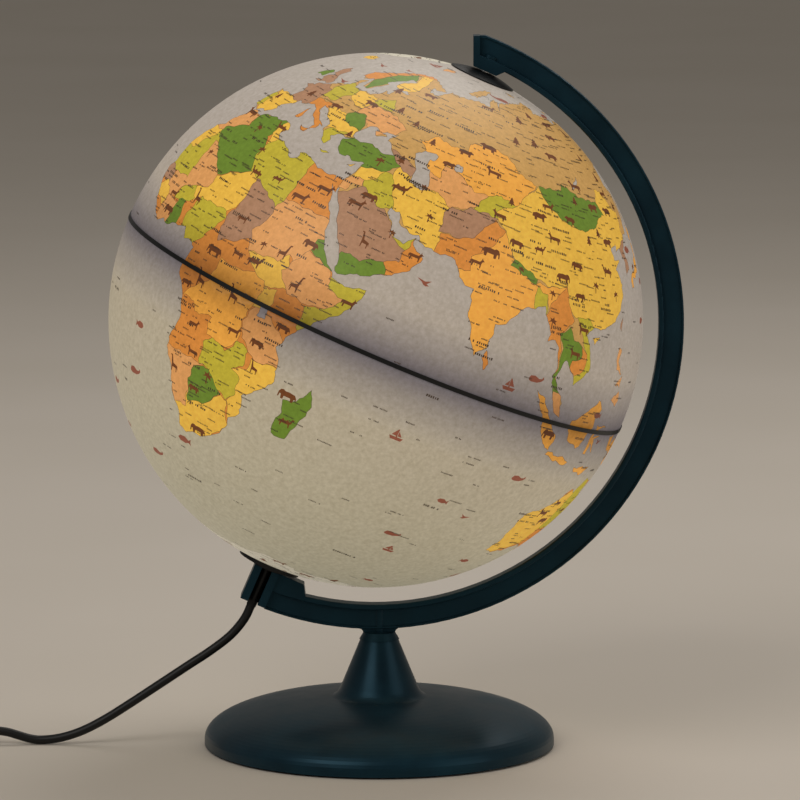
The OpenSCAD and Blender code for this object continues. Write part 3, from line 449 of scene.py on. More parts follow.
    "victoria": ("peach", "-117,73 -105,73.3 -101,69 -116,69"),
    "baffin": ("peach", "-90,73.8 -81,73.6 -72,71.4 -61.5,66.6 -66,62 -72,64.5 -73,67.8 -80,70 -88,70.8"),
    "ellesmere": ("peach", "-90,77 -77,77.2 -62,82.5 -90,81.5"),
    "banks": ("peach", "-125,72 -123,74.3 -116,73"),
    "melville": ("peach", "-100,76.5 -95,75 -118,75.5"),
    "greenland": ("ice", "-73,78.2 -60,82 -35,83.6 -20,81.5 -20,75 -22,70.5 -32,68 -40,65 -43.5,60 -48,61 "
        "-53,66 -54.5,70.5 -60,75.8 -68,76"),
    "newfoundland": ("peach", "-59.3,47.7 -53,46.8 -55.5,51.5"),
    "cuba": ("mauve", "-84.8,22 -82,23.1 -75,20.7 -74.2,20.2 -77.7,19.9 -80,21.5"),
    "hispaniola": ("lime", "-74.4,18.5 -72.8,19.9 -68.4,18.6 -71.5,17.9"),
    "hawaii": ("yellow", "-156,20.2 -155,19.5 -155.7,19"),
    "south_america": ("orange", "-77.4,8.7 -75.5,10.6 -71.7,12.3 -71.3,11 -68,11.7 -62,10.7 -60,8.5 -57,6 "
        "-52,4.8 -50,1 -48.5,-0.8 -44.5,-2.7 -40,-2.8 -35.3,-5.2 -34.9,-8 -37.3,-11.5 -39,-13.5 "
        "-39.2,-17.7 -41,-22 -44.5,-23.2 -48.5,-26 -48.8,-28.5 -52.2,-32.5 -54.9,-34.9 -57.5,-34.4 "
        "-57,-36.5 -58,-38.2 -62.3,-38.9 -62.3,-40.8 -65,-41 -63.8,-42.6 -67.3,-45.8 -65.8,-47.8 -69,-50.5 "
        "-68.3,-52.5 -65.2,-54.8 -69,-55.4 -74,-52.5 -75.5,-47 -73,-41.5 -73.5,-37.2 -71.5,-32.5 -70.3,-25 "
        "-70.2,-18.5 -76.2,-13.9 -79.5,-7.8 -81.3,-5 -80,-3 -81,-1.5 -80,0.8 -77.5,2.5 -77.4,5 -77.8,7"),
    "antarctica": ("ice", "-180,-78 -165,-78 -150,-77 -130,-74.3 -102,-74.5 -75,-73 -67,-68 -57,-63.3 "
        "-61,-67 -62,-74 -80,-77.5 -60,-77.5 -36,-78 -20,-73.5 0,-69.8 20,-70 40,-69.3 52,-66 70,-68 "
        "72,-69.8 80,-67.8 100,-65.8 115,-66.7 135,-66 150,-68.5 165,-70.8 170,-72 164,-77.5 180,-78"),
}
COUNTRIES = [
    ("peach", "-13,27.7 -8.7,27.7 -1.5,32 -2,36 -7,37 -12,32"),
    ("yellow", "-18,20.8 -13,21 -12,23.5 -8.7,26 -8.7,27.7 -14,28"),
    ("lime", "-18,16 -12,15 -5.5,15.5 -5,25 -8.7,27.3 -8.7,26 -12,23.4 -13,21.3 -18,21"),
    ("green", "-8.7,27.3 -4.8,25 1.2,21 3.2,19 12,23.5 9.8,26.5 9.5,30 8,32 8.5,37.5 -2.2,36 -1.2,32 "
        "-8.7,28.7"),
    ("yellow", "8.5,38 7.8,33.5 9,32 10.2,30.3 11.5,33.2 12,38"),
    ("lime", "9.5,30 9.8,26.5 12,23.5 15,23 24,19.5 25,20 25,32.5 20,34 11.5,33.2"),
    ("orange", "25,22 37,22 34.5,28 34.5,32 25,32.5"),
    ("peach", "24,20 25,22 37.5,22 40,18 36.5,14.5 34.5,10.7 33,12 31,9.7 24,8.7 22.5,11 22,13 24,16"),
    ("yellow", "24,8.7 31,9.7 33,12 34,9 35.5,5 31,3.7 27.5,5"),
    ("peach", "-12,15 -5.5,15.5 -6.5,25 -4.8,25 4.2,19.2 4,16 0,15 -4,13.5 -6,10.3 -8,10.5 -11.4,12.3"),
    ("yellow", "4,16 4.2,19.2 12,23.5 15,23 15.5,16.8 13.5,13.8 4,13.5 2,12 0.2,14.9"),
    ("mauve", "15,23 24,19.5 24,15.7 22,13 22.8,11 19,9 15,7.5 14,12.8 15.5,16.8"),
    ("lime", "3,6 2.7,9 3.6,11.7 4,13.5 13.5,13.8 14,12 11,6.7 8.7,4 4,4"),
    ("peach", "33,8 34.3,10.6 36.4,14.3 42.3,12.6 43,11 48,8 45,5 41.5,4 36,4.5"),
    ("green", "36.5,14.5 37,17 38.5,18 43.5,12 42.3,12.5"),
    ("lime", "43,11.5 51.8,12.2 51,9 48,4 42,-2 41,-1 41,3.5 45,5 48,8 44,9"),
    ("yellow", "29.7,-1 30.8,3.6 34,4 34,0.5 33.9,-1"),
    ("peach", "29.5,-4.5 30.8,-1 33.9,-1 39.2,-4.7 40.5,-10.5 35,-11.5 30.5,-8"),
    ("amber", "12.3,-5.8 16.3,-6 17,-8 21.8,-7.3 22,-11 27.4,-12 30,-9 29.3,-4.5 31,2.3 30.5,4.5 27.4,5.2 "
        "22.5,4.2 18.6,4.5 17.8,-0.5 16,-2.3"),
    ("lime", "22,-13 24,-11 28,-12.3 30,-9 33,-10 33,-13.8 30.3,-15 33,-16.5 32.8,-20.5 31,-22.3 "
        "27.7,-20.8 25.3,-17.8 22,-17.5"),
    ("yellow", "34.6,-11.6 41,-10.5 41,-15 35,-20 36,-24 33,-27 31.3,-22.3 32.8,-20.5 33,-16.5 30.3,-15 "
        "34,-14.2"),
    ("peach", "11.5,-17.3 24,-17.6 21,-18.3 21,-22 20,-28.5 16.5,-28.6 13,-23"),
    ("green", "20,-22 21,-18.3 25.2,-17.8 29.2,-22 25.5,-25.7 20.5,-26.8"),
    ("yellow", "16,-28.6 20,-28.5 20,-25 20.6,-26.8 25.5,-25.7 29.3,-22.2 31.3,-22.4 32,-26.8 33,-28 "
        "26,-35 18,-35.5"),
    ("peach", "-8.5,4 -8,10.3 -2.8,9.8 -3,4.5"),
    ("green", "-3,4.5 -2.8,11 0,11.1 1.2,6"),
    ("lime", "-5.4,10.3 -4,13.5 0,15 2.3,12.5 0,11.1"),
    ("yellow", "-15,11 -13.5,12.6 -11.4,12.3 -8,10.5 -8.5,7.6 -11,8.5 -13.3,9"),
    ("mauve", "-18,14.7 -16.6,16.3 -12.2,14.8 -11.4,12.4 -17,12.3"),
    ("green", "26,36 26,40.5 30,42 41.5,41.6 44.8,39.6 42.3,37.2 36.2,36"),
    ("yellow", "35.5,33 36.2,36 42.3,37.2 41,34.5 38.8,33.4 36.5,32.3"),
    ("peach", "34.2,29.4 34.2,31.5 35.5,33 38.8,33.4 39,32 37,31.5 36,29.2"),
    ("lime", "38.8,33.4 41,34.5 42.3,37.2 44.8,37.2 46,35 48.5,30 46.5,29.1 44.7,29.2 39.2,32.1"),
    ("yellow", "44.8,39.7 48,39.3 49,37.5 54,37.3 57,38 61.2,36.5 60.6,33.5 61.8,31 61.5,25 57,25.5 "
        "54.5,26.4 50.5,29.5 48.5,30 46,35 44.3,37.2"),
    ("mauve", "34.8,28 36.5,29.4 39.2,32.1 44.7,29.2 46.5,29.1 48.5,28.3 51.5,24.3 55.2,22.7 55,20 52,19 "
        "47,17 43,17.3 42.5,16 38,21"),
    ("green", "42.5,16 43,17.3 47,17 52,19 53.5,16.5 48,13 43,12"),
    ("orange", "52,19 55,20 55.2,22.7 56.4,26.5 61,23 57,17 53.3,16.5"),
    ("lime", "51.5,24.2 56.4,26.4 56,24 55.2,22.7"),
    ("amber", "46.5,48.5 50,51.5 55,50.7 61.5,51 61,53.5 69,55.3 76.5,54 80,50.8 87,49.2 83,45.8 80,42.2 "
        "74.3,43 70.7,42 66.5,41.5 61,44.5 56,45.2 56,41.3 52.5,41.7 50.5,44.5 49,46.5"),
    ("peach", "52.5,41.7 56,41.3 56,45 61,44.4 66.5,41.6 70.7,42 73,40.6 68,38 66.5,37.4 61.2,35.5 57,38 "
        "54,37.2"),
    ("lime", "67.5,37.2 68.5,39.5 70.7,42 74.3,43 80,42.2 74.8,39.5 74.8,37.3"),
    ("mauve", "60.6,34 61.2,35.5 64.5,36.3 66.5,37.4 71.5,37.8 74.8,37.3 71,34 69.5,31.5 66.3,29.9 "
        "60.9,29.8"),
    ("orange", "61.5,25 61.5,29.5 66.3,29.9 69.5,31.5 71,34 74,36.9 77.5,35.3 74.5,31 73,29.5 70,27 "
        "71,24.4 67.5,23.5"),
    ("amber", "68,23.6 71,24.4 70,27 73,29.5 74.5,31 77.5,35.3 79,32.5 81,30.2 80.2,28.8 88.2,26.5 89,27 "
        "92,26.9 97.3,28.2 94.5,24.5 93,22 91.8,25 88.8,26 88.5,24 89,21.6 85,19 80.5,13 78,7.5 72,12 70,20"),
    ("green", "80,28.8 81.2,30.3 88,27.9 88.2,26.4"),
    ("lime", "88.1,24 88.8,26.2 92,25 92.3,21 89,21.5"),
    ("yellow", "73.6,39.4 80,42.2 83,45.8 87.5,49 90.5,45.5 96.4,42.7 105,41.7 112,43.6 116,46.5 119.8,47 "
        "117,49.7 120.5,53.2 125,53 130.8,48.5 134.8,48.4 131,44.8 130.7,42.4 124,39.8 122,35 123,30 "
        "120,24 111,20.5 108,21.5 105.5,23 102,22.3 98.7,24 97.5,28.2 92,27 88,27.9 81.2,30.3 78.7,32.7 "
        "77.5,35.5 74.8,37.3"),
    ("green", "87.8,49.2 98,50.2 98.5,52 107,50 116.7,49.8 119.8,47 116,46.5 112,43.6 105,41.7 96.4,42.7 "
        "90.8,45.3"),
    ("mauve", "124.3,40 130.5,42.4 130,34 125,33.5"),
    ("orange", "92.3,21 93.3,24 97.3,28.2 98.7,25 101,21.6 97.5,18.4 98.8,14 98.8,10 97,14 93,16"),
    ("green", "97.5,18.4 100.3,20.3 102,18 105.3,17 105.5,14.3 102.5,13.5 102.7,12 99,9 102,6.2 100,6 98,8 "
        "99.2,12 98.8,16"),
    ("lime", "102.2,22.4 105.5,23.2 108.3,21.5 106,19.5 110,14 109.3,11 104.5,8 104.8,10.7 107.5,12.3 "
        "107.3,15.5 104,19.5"),
    ("orange", "105.3,17 107.3,15.5 107.5,12.3 104.8,10.5 102.5,12 102.5,13.5 105.5,14.3"),
    ("peach", "99.8,6.5 102,6.3 105,1 101,2"),
    ("yellow", "-7.4,37 -7,42 -9.5,43.8 -1.7,43.6 3.3,42.4 0,38 -5,35.8"),
    ("lime", "-10,36.8 -7.4,37 -7,42 -9.5,42"),
    ("mauve", "-1.7,43.3 3.3,42.4 7.5,43.7 7,47.5 8.2,49 2.5,51.2 -5.5,48.8"),
    ("lime", "7,47.5 13,47.6 12.3,50.2 14.8,51 14.3,54.2 8.5,55 6,51.5"),
    ("orange", "7,44 7,46.5 13.5,46.7 13.7,45.5 12,44 19,40 15,37 8,40"),
    ("yellow", "14.5,54 14.8,51 18.8,49.5 22.6,49.2 23.7,52.5 23,54.3"),
    ("peach", "22.2,48.2 24,51.8 31,52 34,51.8 40,49.5 38,47 33,44.3 30,45.5"),
    ("green", "20.3,46 22.5,48 26.5,48.2 28.2,45.4 28.6,43.7 22.5,44"),
    ("lime", "23.5,52 23.8,54 28,56.2 31,54 31.5,52.2"),
    ("orange", "4.5,58 5,62 14,68 25,72 31,70.5 28,70 22,69 20,68.5 14,64.5 11.5,59"),
    ("green", "11.5,59 14,64.5 20,68.6 24,66 18,60 14,55"),
    ("yellow", "21,60 21,63.5 25,65.5 23.5,67.5 21,69.2 28,70 30,67.5 31,62.8 28,60.4"),
    ("yellow", "13.7,45.6 16.5,46.5 20.3,46 22.5,44 28.2,43.7 28,41.5 19,41"),
    ("lime", "19.5,39 20.8,41 26.5,41.7 24,38 23,36"),
    ("mauve", "40,43.4 47,41.8 50,40.3 48.5,38.5 44.5,39.8 41.5,41.6"),
    ("yellow", "-125,48.5 -95,49 -88.5,48.2 -82.5,45.5 -82.5,42 -79,43.3 -75,45 -70.5,45.3 -67,47.3 "
        "-66.5,44.5 -70,40 -81,24.5 -90,28 -97,25.8 -101.5,29.8 -106.5,31.8 -114.8,32.5 -117.5,32.5 "
        "-121,34 -126,42"),
    ("yellow", "-141,60.2 -141,70 -157,72 -170,66 -168,52 -150,58.5"),
    ("green", "-117.5,32.5 -114.8,32.5 -106.5,31.8 -101.5,29.8 -97,25.8 -97,21 -92,19 -90,22 -86,21.8 "
        "-88,17.9 -89,17.8 -92.2,14.4 -98,15.5 -106,19.5 -116,30"),
    ("lime", "-60,5 -51,4.4 -35,-5 -34,-8 -48,-26 -53.4,-33.8 -57.6,-30.2 -53.8,-27 -54.5,-25.5 -58,-20 "
        "-60,-16.3 -65,-12 -65.3,-10 -70.5,-11 -73.8,-7.3 -70,-4.2 -69.5,1 -67,1.2 -64,1.5 -64.5,4"),
    ("yellow", "-57.6,-30.2 -53.8,-27 -58,-22 -62.5,-22 -66.3,-22 -68.3,-26 -70,-31 -71.3,-40 -71.7,-45 "
        "-72.5,-49 -71.9,-52 -68.5,-52.5 -65,-55 -60,-40 -57,-36.5 -58.4,-34"),
    ("mauve", "-70.3,-18 -68,-20 -68.3,-26 -70,-31 -71.3,-40 -72.5,-49 -69,-52.5 -68,-56 -76,-53 -76,-45 "
        "-72,-30"),
    ("peach", "-69.5,-11 -65.3,-10 -60,-16.3 -58,-20 -62.5,-22 -67.5,-22.5 -69.3,-18"),
    ("green", "-58,-20 -54.5,-25.5 -55,-27.2 -58.5,-27 -62.5,-22"),
    ("yellow", "-77.5,8.5 -72,12.5 -72.3,8 -67.3,6 -67,1.2 -69.8,1.2 -70,-4 -75.3,0 -79,1.6"),
    ("mauve", "-72,12.5 -60,9 -60.5,5 -64.5,4 -63.5,2 -67,1.2 -67.3,6 -72.3,8"),
    ("yellow", "113,-21 115,-36 129,-31 129,-14 122,-17"),
    ("lime", "129,-14 129,-26 138,-26 138,-16 133,-10"),
    ("peach", "138,-26 141,-26 141,-29 154,-28.5 147,-18 143,-9 138,-16"),
    ("amber", "141,-29 141,-34 150,-37.5 154,-28.5"),
]
WATERS = [
    "49,46.5 53,46.5 53,45 51,44.5 51.2,43 52.7,42 53.8,39.5 54,37 51,36.7 49,37.7 49.3,40.2 47.8,42.5 "
    "47,44.5",
    "59,44.5 61.5,45 61,46.5 59,46.2",
    "104,51.6 109.7,55.5 109,54 105,51.4",
    "32,0.3 34,0 33.8,-2.3 32,-2.5",
    "-94.5,58.8 -92.5,57 -88,56.5 -82.3,55.1 -80,51.3 -79,54.5 -76.7,57 -78,62.6 -86,66.2 -90,64 -94,61",
    "-92,46.8 -88,48.8 -84.7,46.6 -88,46.7",
    "-87.7,42 -86,46 -84,46 -80.5,44.8 -82.5,43 -84,45.4 -86.3,43",
    "-83.3,41.8 -79,43 -81,42.5",
    "-117,61.5 -109,62.5 -115,61",
    "-124,66 -119,66 -122,65.2",
]

# Little pictures, in millimetres about the middle of their feet or bellies, facing right.
PICTURES = {
    "elephant": "-5,0 -4.6,2.8 -3.6,4.2 -0.5,4.6 1.6,4.4 2.6,5 4,4.6 4.8,3.2 5,0.6 4.4,0.6 4.1,2.4 "
        "3.4,2.2 3.1,0 1.9,0 1.7,1.8 -1.8,1.8 -2,0 -3.3,0 -3.5,1.8 -4.3,2",
    "antelope": "-4.6,3.4 -3.9,4.1 1.8,4.1 2.8,5.6 3,7 3.5,5.8 4.9,4.9 3.6,4.4 3,3 2.9,0 2.2,0 2,2.2 "
        "-2.2,2.1 -2.6,0 -3.3,0 -3.5,2.6 -4.4,1",
    "giraffe": "-2.6,3.6 0.8,4.6 2.2,9 3.6,9.2 3.5,8.5 2.8,8.3 2,3.6 1.9,0 1.3,0 1.1,2.4 -1.6,2.2 -1.8,0 "
        "-2.4,0 -2.3,2.6 -3.2,1",
    "camel": "-4.2,3.4 -2.6,3.8 -1.8,5.2 -0.8,4 0.4,4.1 1.2,5.2 2,3.9 3,4.4 3.6,6.2 4.9,6.2 4.9,5.5 "
        "4.2,5.3 3.6,3.2 2.8,2.6 2.7,0 2.1,0 1.9,2 -2.2,2 -2.5,0 -3.1,0 -3.3,2.4 -4.2,1.6",
    "bear": "-4.4,1.6 -4,3.6 -1.6,4.5 1.4,4.1 2.6,4.8 3.2,4.5 4.8,3.4 4.6,2.9 3.4,2.7 3,2 3.1,0 1.9,0 "
        "1.7,1.4 -1.4,1.5 -1.6,0 -3,0 -3.1,1.5",
    "palm": "-0.3,0 -0.1,3.4 -2.6,2.4 -1.8,4 -3,4.6 -1,5 -0.4,6.4 0.5,5.2 2.2,5.8 1.4,4.4 3,3.2 0.5,3.8 "
        "0.4,0",
    "fir": "-0.4,0 -0.4,1.2 -2.6,1 -1.2,3 -2,3 -0.7,4.8 -1.2,4.8 0,6.8 1.2,4.8 0.7,4.8 2,3 1.2,3 2.6,1 "
        "0.4,1.2 0.4,0",
    "bird": "-4,2.4 -1,1 0,0 1.4,-0.4 3,0.2 1.6,0.8 3.6,3 0.6,1.8 -1.4,2",
    "fish": "-4.6,2.2 -4.2,0.1 -4.6,-1.8 -3,-0.6 -0.8,-1.6 2.6,-1.3 4,0.2 2.6,1.8 -0.8,2.2 -3,0.8",
    "whale": "-5.6,1.6 -4.2,0.2 -1.5,-1 2.5,-1.3 4.4,-0.9 5,0 4,1.9 1,2.4 -2,1.3 -4,1.6 -5,3",
    "ship": "-4,1 -3,-0.8 3,-0.8 4,1 0.4,1 0.4,1.6 3,1.8 0.4,5.6 -0.2,5.6 -0.2,1.6 -2.8,1.6 -0.4,4.6 "
        "-0.4,1",
}
HOT = ["elephant", "antelope", "giraffe", "camel", "palm", "elephant", "antelope", "palm"]
COLD = ["bear", "fir", "antelope", "bear", "fir"]
AT_SEA = ["fish", "whale", "ship", "fish", "bird"]
TINTS = {
    "orange": "#cf8439", "amber": "#e6a243", "yellow": "#e3b345", "peach": "#d6985a", "lime": "#b8a833",
    "green": "#66802a", "mauve": "#a57b5e", "tan": "#bf9454", "ice": "#c9c2b0", "sea": "#a79e90",
}
INK_ON_LAND = "#6a3c1c"
INK_AT_SEA = "#8a4f3c"
NEAR_LONGITUDE = 58.4  # the meridian that faces the front
GRID_STEP = 2.5  # between the loose points that keep the ball round, in degrees
EDGE_POINTS, RIM_POINTS = 288, 72
NORTH_HOLE_R, SOUTH_HOLE_R, SHELL_WALL = 12.3 * MM, 14.5 * MM, 1.5 * MM
BORDER_W, BORDER_LIFT, LABEL_LIFT = 0.17 * MM, 0.02 * MM, 0.03 * MM
PICTURE_PLACES, PICTURES_ON_LAND, PICTURES_AT_SEA = 1000, 0.66, 0.1
LABEL_PLACES, LABELS_ON_LAND, LABELS_AT_SEA = 6000, 0.85, 0.07
GOLDEN_ANGLE = 137.508
# Size in degrees, and how fast each wave runs with longitude and with latitude
EAST_WAVES = [(0.22, 0.9, 1.7), (0.1, -2.3, 3.1)]
NORTH_WAVES = [(0.22, 1.6, -0.8), (0.1, 3.4, 1.9)]
DEG = math.radians(1)
spread = np.random.default_rng(7)


def outline(text):
    """The corners of an outline, one row each."""
    return np.array([[float(number) for number in pair.split(",")] for pair in text.split()])


def on_globe(lon, lat, radius=GLOBE_R):
    """Points on the globe: east and north are turned from the front meridian and the equator."""
    front = np.array([0, -1, 0])
    east = np.cross(AXIS, front)
    lon = (np.asarray(lon) - NEAR_LONGITUDE) * DEG
    lat = np.asarray(lat) * DEG
    around = np.cos(lon)[..., None] * front + np.sin(lon)[..., None] * east
    return GLOBE_CENTRE + radius * (np.cos(lat)[..., None] * around + np.sin(lat)[..., None] * AXIS)


def flat(lon_lat, side):
    """The map laid flat about a pole, side 1 for north: distance from the pole is colatitude, and angle
    is longitude."""
    away = (90 - side * lon_lat[:, 1]) * DEG
    angle = side * lon_lat[:, 0] * DEG
    return np.stack([away * np.cos(angle), away * np.sin(angle)], axis=1)


def unflat(xy, side):
    """Longitude and latitude of points of the flat map."""
    away = np.hypot(xy[:, 0], xy[:, 1])
    return np.stack([side * np.arctan2(xy[:, 1], xy[:, 0]) / DEG, side * (90 - away / DEG)], axis=1)


def divided(corners, longest=0.9):
    """The outline with its long sides divided, and every point moved by up to half a degree along smooth
    waves over the map, as a coast wanders between two capes. Each wave is size sin(a lon + b lat)."""
    following = np.roll(corners, -1, axis=0)
    steps = np.ceil(np.hypot(*(following - corners).T) / longest).clip(1).astype(int)
    sides = [a + (b - a) * np.arange(n)[:, None] / n for a, b, n in zip(corners, following, steps)]
    lon, lat = np.concatenate(sides).T
    east, north = [sum(size * np.sin(a * lon + b * lat) for size, a, b in waves)
                   for waves in (EAST_WAVES, NORTH_WAVES)]
    return np.stack([lon + east, (lat + north).clip(-90, 90)], axis=1)


def inside(lon_lat, corners):
    """Which points lie inside an outline: those from which a line east crosses it an odd number of times."""
    x, y = lon_lat[:, 0], lon_lat[:, 1]
    odd = np.zeros(len(x), bool)
    for (x0, y0), (x1, y1) in zip(corners, np.roll(corners, -1, axis=0)):
        if y0 != y1:
            odd ^= ((y0 > y) != (y1 > y)) & (x < (x1 - x0) * (y - y0) / (y1 - y0) + x0)
    return odd


LAND = [outline(text) for _, text in COASTS.values()]


def scattered(count):
    """Points spread evenly over the globe on a golden spiral, each moved a little at random."""
    k = np.arange(count) + 0.5
    lat = np.degrees(np.arcsin(1 - 2 * k / count))
    lon = (k * GOLDEN_ANGLE + 180) % 360 - 180
    move = spread.uniform(-2.2, 2.2, (count, 2))
    return np.stack([lon + move[:, 0], np.clip(lat + move[:, 1], -82, 80)], axis=1)


def on_land(lon_lat):
    """Which points lie on land."""
    dry = lon_lat[:, 1] < -72
    for corners in LAND:
        dry |= inside(lon_lat, corners) | inside(lon_lat + [360, 0], corners)
    return dry


def placed(shape, lon, lat, size):
    """A little picture at its place on the map: millimetres east and north of it, as degrees."""
    rise = lat + shape[:, 1] * size * MM / GLOBE_R / DEG
    return np.stack([lon + shape[:, 0] * size * MM / GLOBE_R / DEG / np.cos(rise * DEG), rise], axis=1)


def scatter_pictures():
    """Animals and trees on land, fish, whales and ships at sea. Each is an outline and its ink."""
    places = scattered(PICTURE_PLACES)
    dry = on_land(places)
    pictures = []
    for (lon, lat), land in zip(places, dry):
        chance, size, flip, pick = spread.random(4)
        if not 2.5 <= abs(lat) <= 78 or chance > (PICTURES_ON_LAND if land else PICTURES_AT_SEA):
            continue
        choice = (HOT if abs(lat) < 38 else COLD) if land else AT_SEA
        shape = outline(PICTURES[choice[int(pick * len(choice))]])
        if flip < 0.5:
            shape = shape[::-1] * [-1, 1]
        pictures.append((placed(shape, lon, lat, 0.8 + 0.35 * size), INK_ON_LAND if land else INK_AT_SEA))
    return pictures


def map_shell(name, side, hole_r, body, drawn):
    """Half of the globe as one mesh, cut along coasts, borders and pictures on the flat map and then
    bent onto the ball. Every face keeps its ink, and whether it is sea."""
    hole = math.asin(hole_r / GLOBE_R) / DEG
    rings = np.arange(90 - GRID_STEP, hole + 0.5, -GRID_STEP)
    loose = [np.stack([np.arange(n) * 360 / n, np.full(n, side * (90 - away))], axis=1)
             for away in rings for n in [max(24, round(360 * math.sin(away * DEG) / GRID_STEP))]]
    full_turn = np.linspace(-180, 180, EDGE_POINTS, endpoint=False)
    edge = np.stack([full_turn, np.zeros(EDGE_POINTS)], axis=1)
    rim = np.stack([full_turn[::EDGE_POINTS // RIM_POINTS], np.full(RIM_POINTS, side * (90 - hole))], axis=1)
    shapes = [(edge, "sea", "sea"), (rim, "sea", "sea")]
    shapes += [shape for shape in drawn if (side * shape[0][:, 1]).max() > -1]
    points = [flat(corners, side) for corners, _, _ in shapes]
    starts = np.cumsum([0] + [len(p) for p in points])
    edges = [(k, k + 1 if k + 1 < b else a) for a, b in zip(starts[:-1], starts[1:]) for k in range(a, b)]
    cloud = np.concatenate(points + [flat(np.concatenate(loose), side)])
    vertices, _, faces, *_ = delaunay_2d_cdt([Vector(p) for p in cloud], edges, [], 0, 1e-7, False)
    vertices = np.array([tuple(v) for v in vertices])
    faces = np.array(faces)
    middles = vertices[faces].mean(axis=1)
    away = np.hypot(*middles.T) / DEG
    faces, middles = [values[(away > hole) & (away < 90)] for values in (faces, middles)]
    regions = np.full(len(faces), -1)
    wet = np.ones(len(faces), bool)
    inks = np.tile(linear(TINTS["sea"]), (len(faces), 1))
    for k, (_, tint, kind) in enumerate(shapes[2:], 2):
        boxed = (middles > points[k].min(axis=0)) & (middles < points[k].max(axis=0))
        near = np.flatnonzero(boxed.all(axis=1))
        hit = near[inside(middles[near], points[k])]
        if kind == "country":
            hit = hit[regions[hit] >= 0]
        if kind != "picture":
            regions[hit] = -1 if kind == "water" else k
        wet[hit] = kind == "water"
        inks[hit] = linear(TINTS.get(tint, tint))
    lon_lat = unflat(vertices, side)
    ball = on_globe(lon_lat[:, 0], lon_lat[:, 1])
    used, faces = np.unique(faces, return_inverse=True)
    shell = put_mesh(name, ball[used], faces.reshape(-1, 3), body, FINISHES["printed_globe"])
    ink = shell.data.attributes.new("ink", "FLOAT_COLOR", "FACE")
    ink.data.foreach_set("color", inks.ravel())
    sea = shell.data.attributes.new("sea", "FLOAT", "FACE")
    sea.data.foreach_set("value", wet.astype(float))
    wall = shell.modifiers.new("wall", "SOLIDIFY")
    wall.thickness = SHELL_WALL
    wall.offset = -1
    return shell, ball[used], faces.reshape(-1, 3), regions


drawn = [(divided(outline(text)), tint, "land") for tint, text in COASTS.values()]
drawn += [(divided(outline(text)), tint, "country") for tint, text in COUNTRIES]
drawn += [(divided(outline(text)), "sea", "water") for text in WATERS]
drawn += [(corners, ink, "picture") for corners, ink in scatter_pictures()]
north, *north_map = map_shell("northern_map_shell", 1, NORTH_HOLE_R, "globe", drawn)
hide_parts("northern_hemisphere")
south, *south_map = map_shell("southern_map_shell", -1, SOUTH_HOLE_R, "globe", drawn)
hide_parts("southern_hemisphere")


def printing_ink():
    """Dark process ink under varnish, lit a little from behind."""
    material, tree, shader = new_material("dark_printing_ink")
    place = add(tree, "TexCoord").outputs["Object"]
    patches = add(tree, "TexNoise", {"Vector": place, "Scale": 1 / 0.003, "Detail": 3.0})
    tone = add(tree, "ValToRGB", {"Fac": patches.outputs[0]}, [(0.3, "#30241a"), (0.7, "#4a3a2a")])
    tree.links.new(tone.outputs[0], shader.inputs["Base Color"])
    tree.links.new(tone.outputs[0], shader.inputs["Emission Color"])
    shader.inputs["Emission Strength"].default_value = 0.3
    shader.inputs["Roughness"].default_value = 0.42
    return material


def put_quads(name, corners, body, material):
    """A mesh of separate four-cornered faces."""
    return put_mesh(name, corners.reshape(-1, 3), np.arange(len(corners) * 4).reshape(-1, 4), body, material)


def border_lines(name, maps, width, lift, material):
    """A narrow strip along every edge of the map where two different regions meet."""
    strips = []
    for ball, faces, regions in maps:
        edges = np.sort(faces[:, [0, 1, 1, 2, 2, 0]].reshape(-1, 2), axis=1)
        owner = np.repeat(np.arange(len(faces)), 3)
        order = np.lexsort((edges[:, 1], edges[:, 0]))
        edges, owner = edges[order], owner[order]
        twin = np.flatnonzero((edges[1:] == edges[:-1]).all(axis=1))
        split = twin[regions[owner[twin]] != regions[owner[twin + 1]]]
        a, b = ball[edges[split, 0]], ball[edges[split, 1]]
        outward = (a - GLOBE_CENTRE) / GLOBE_R
        aside = np.cross(outward, b - a)
        aside *= width / 2 / np.linalg.norm(aside, axis=1, keepdims=True)
        strip = np.stack([a + aside, a - aside, b - aside, b + aside], axis=1)
        strips.append(strip + outward[:, None] * lift)
    return put_quads(name, np.concatenate(strips), "globe", material)


def label_dashes():
    """Rows of small upright dashes that stand for place names: longitude, latitude, and each dash's
    offset along the row, width and height in millimetres. They crowd the land and are few at sea."""
    places = scattered(LABEL_PLACES)
    dry = on_land(places)
    rows = []
    for (lon, lat), land in zip(places, dry):
        chance, kind, dashes, _ = spread.random(4)
        if abs(lat) > 80 or chance > (LABELS_ON_LAND if land else LABELS_AT_SEA):
            continue
        height = 1.5 if kind > 0.9 else 0.9
        pitch = height * 0.86
        count = 4 + int(dashes * 8)
        x = (np.arange(count) - count / 2) * pitch
        x = x[spread.random(count) > 0.1]
        tall = height * spread.uniform(0.75, 1.0, len(x))
        wide = pitch * spread.uniform(0.45, 0.75, len(x))
        rows.append(np.stack([np.full(len(x), lon), np.full(len(x), lat), x, wide, tall], axis=1))
    return np.concatenate(rows)


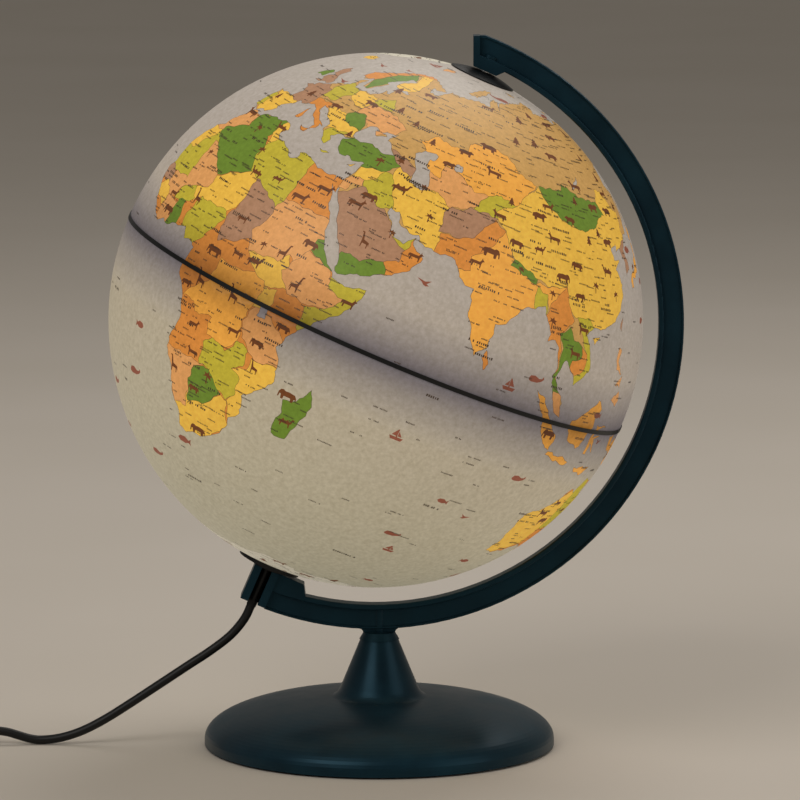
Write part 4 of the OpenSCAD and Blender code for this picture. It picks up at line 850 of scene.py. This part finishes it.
def map_labels(name, lift, material):
    """Each dash is four corners east and north of its place, laid on the ball."""
    lon, lat, x, wide, tall = label_dashes().T
    corner_x = np.array([-0.5, 0.5, 0.5, -0.5])
    corner_y = np.array([0, 0, 1, 1])
    rise = lat[:, None] + corner_y * tall[:, None] * MM / GLOBE_R / DEG
    across = (x[:, None] + corner_x * wide[:, None]) * MM / GLOBE_R / DEG
    corners = on_globe(lon[:, None] + across / np.cos(rise * DEG), rise, GLOBE_R + lift)
    return put_quads(name, corners, "globe", material)


INK = printing_ink()
borders = border_lines("map_borders", [north_map, south_map], BORDER_W, BORDER_LIFT, INK)
labels = map_labels("map_labels", LABEL_LIFT, INK)


# ---- studio

# Name, place, watts and width
LAMPS = [("key", (-1.3, -1.8, 2.0), 26, 1.6), ("fill", (1.9, -1.2, 1.0), 7, 1.4),
         ("top", (0.5, 0.9, 1.9), 15, 1.2)]
LOOK_AT = Vector((0, 0, 0.2))
FLOOR_HALF = 14


def studio():
    """A plain pale floor, and soft light from a large lamp at the upper left, a weak one at the right
    and one above and behind."""
    material, tree, shader = new_material("pale_studio_paper")
    place = add(tree, "TexCoord").outputs["Object"]
    fibres = add(tree, "TexNoise", {"Vector": place, "Scale": 3.0, "Detail": 2.0})
    tone = add(tree, "ValToRGB", {"Fac": fibres.outputs[0]}, [(0.3, "#cfc6ba"), (0.7, "#d3cabf")])
    tree.links.new(tone.outputs[0], shader.inputs["Base Color"])
    shader.inputs["Roughness"].default_value = 0.75
    mesh = bpy.data.meshes.new("studio_floor")
    corners = [(x * FLOOR_HALF, y * FLOOR_HALF, 0) for x, y in ((-1, -1), (1, -1), (1, 1), (-1, 1))]
    mesh.from_pydata(corners, [], [(0, 1, 2, 3)])
    mesh.materials.append(material)
    floor = bpy.data.objects.new("studio_floor", mesh)
    scene.collection.objects.link(floor)
    for name, place, watts, size in LAMPS:
        lamp = bpy.data.lights.new(name, "AREA")
        lamp.energy = watts
        lamp.size = size
        lamp.color = (1, 0.97, 0.93)
        holder = bpy.data.objects.new(name, lamp)
        holder.location = place
        holder.rotation_euler = (LOOK_AT - Vector(place)).to_track_quat("-Z", "Y").to_euler()
        scene.collection.objects.link(holder)
    world = bpy.data.worlds.new("soft_room")
    world.use_nodes = True
    world.node_tree.nodes["Background"].inputs["Color"].default_value = linear("#d9d4cc")
    world.node_tree.nodes["Background"].inputs["Strength"].default_value = 0.27
    scene.world = world


studio()
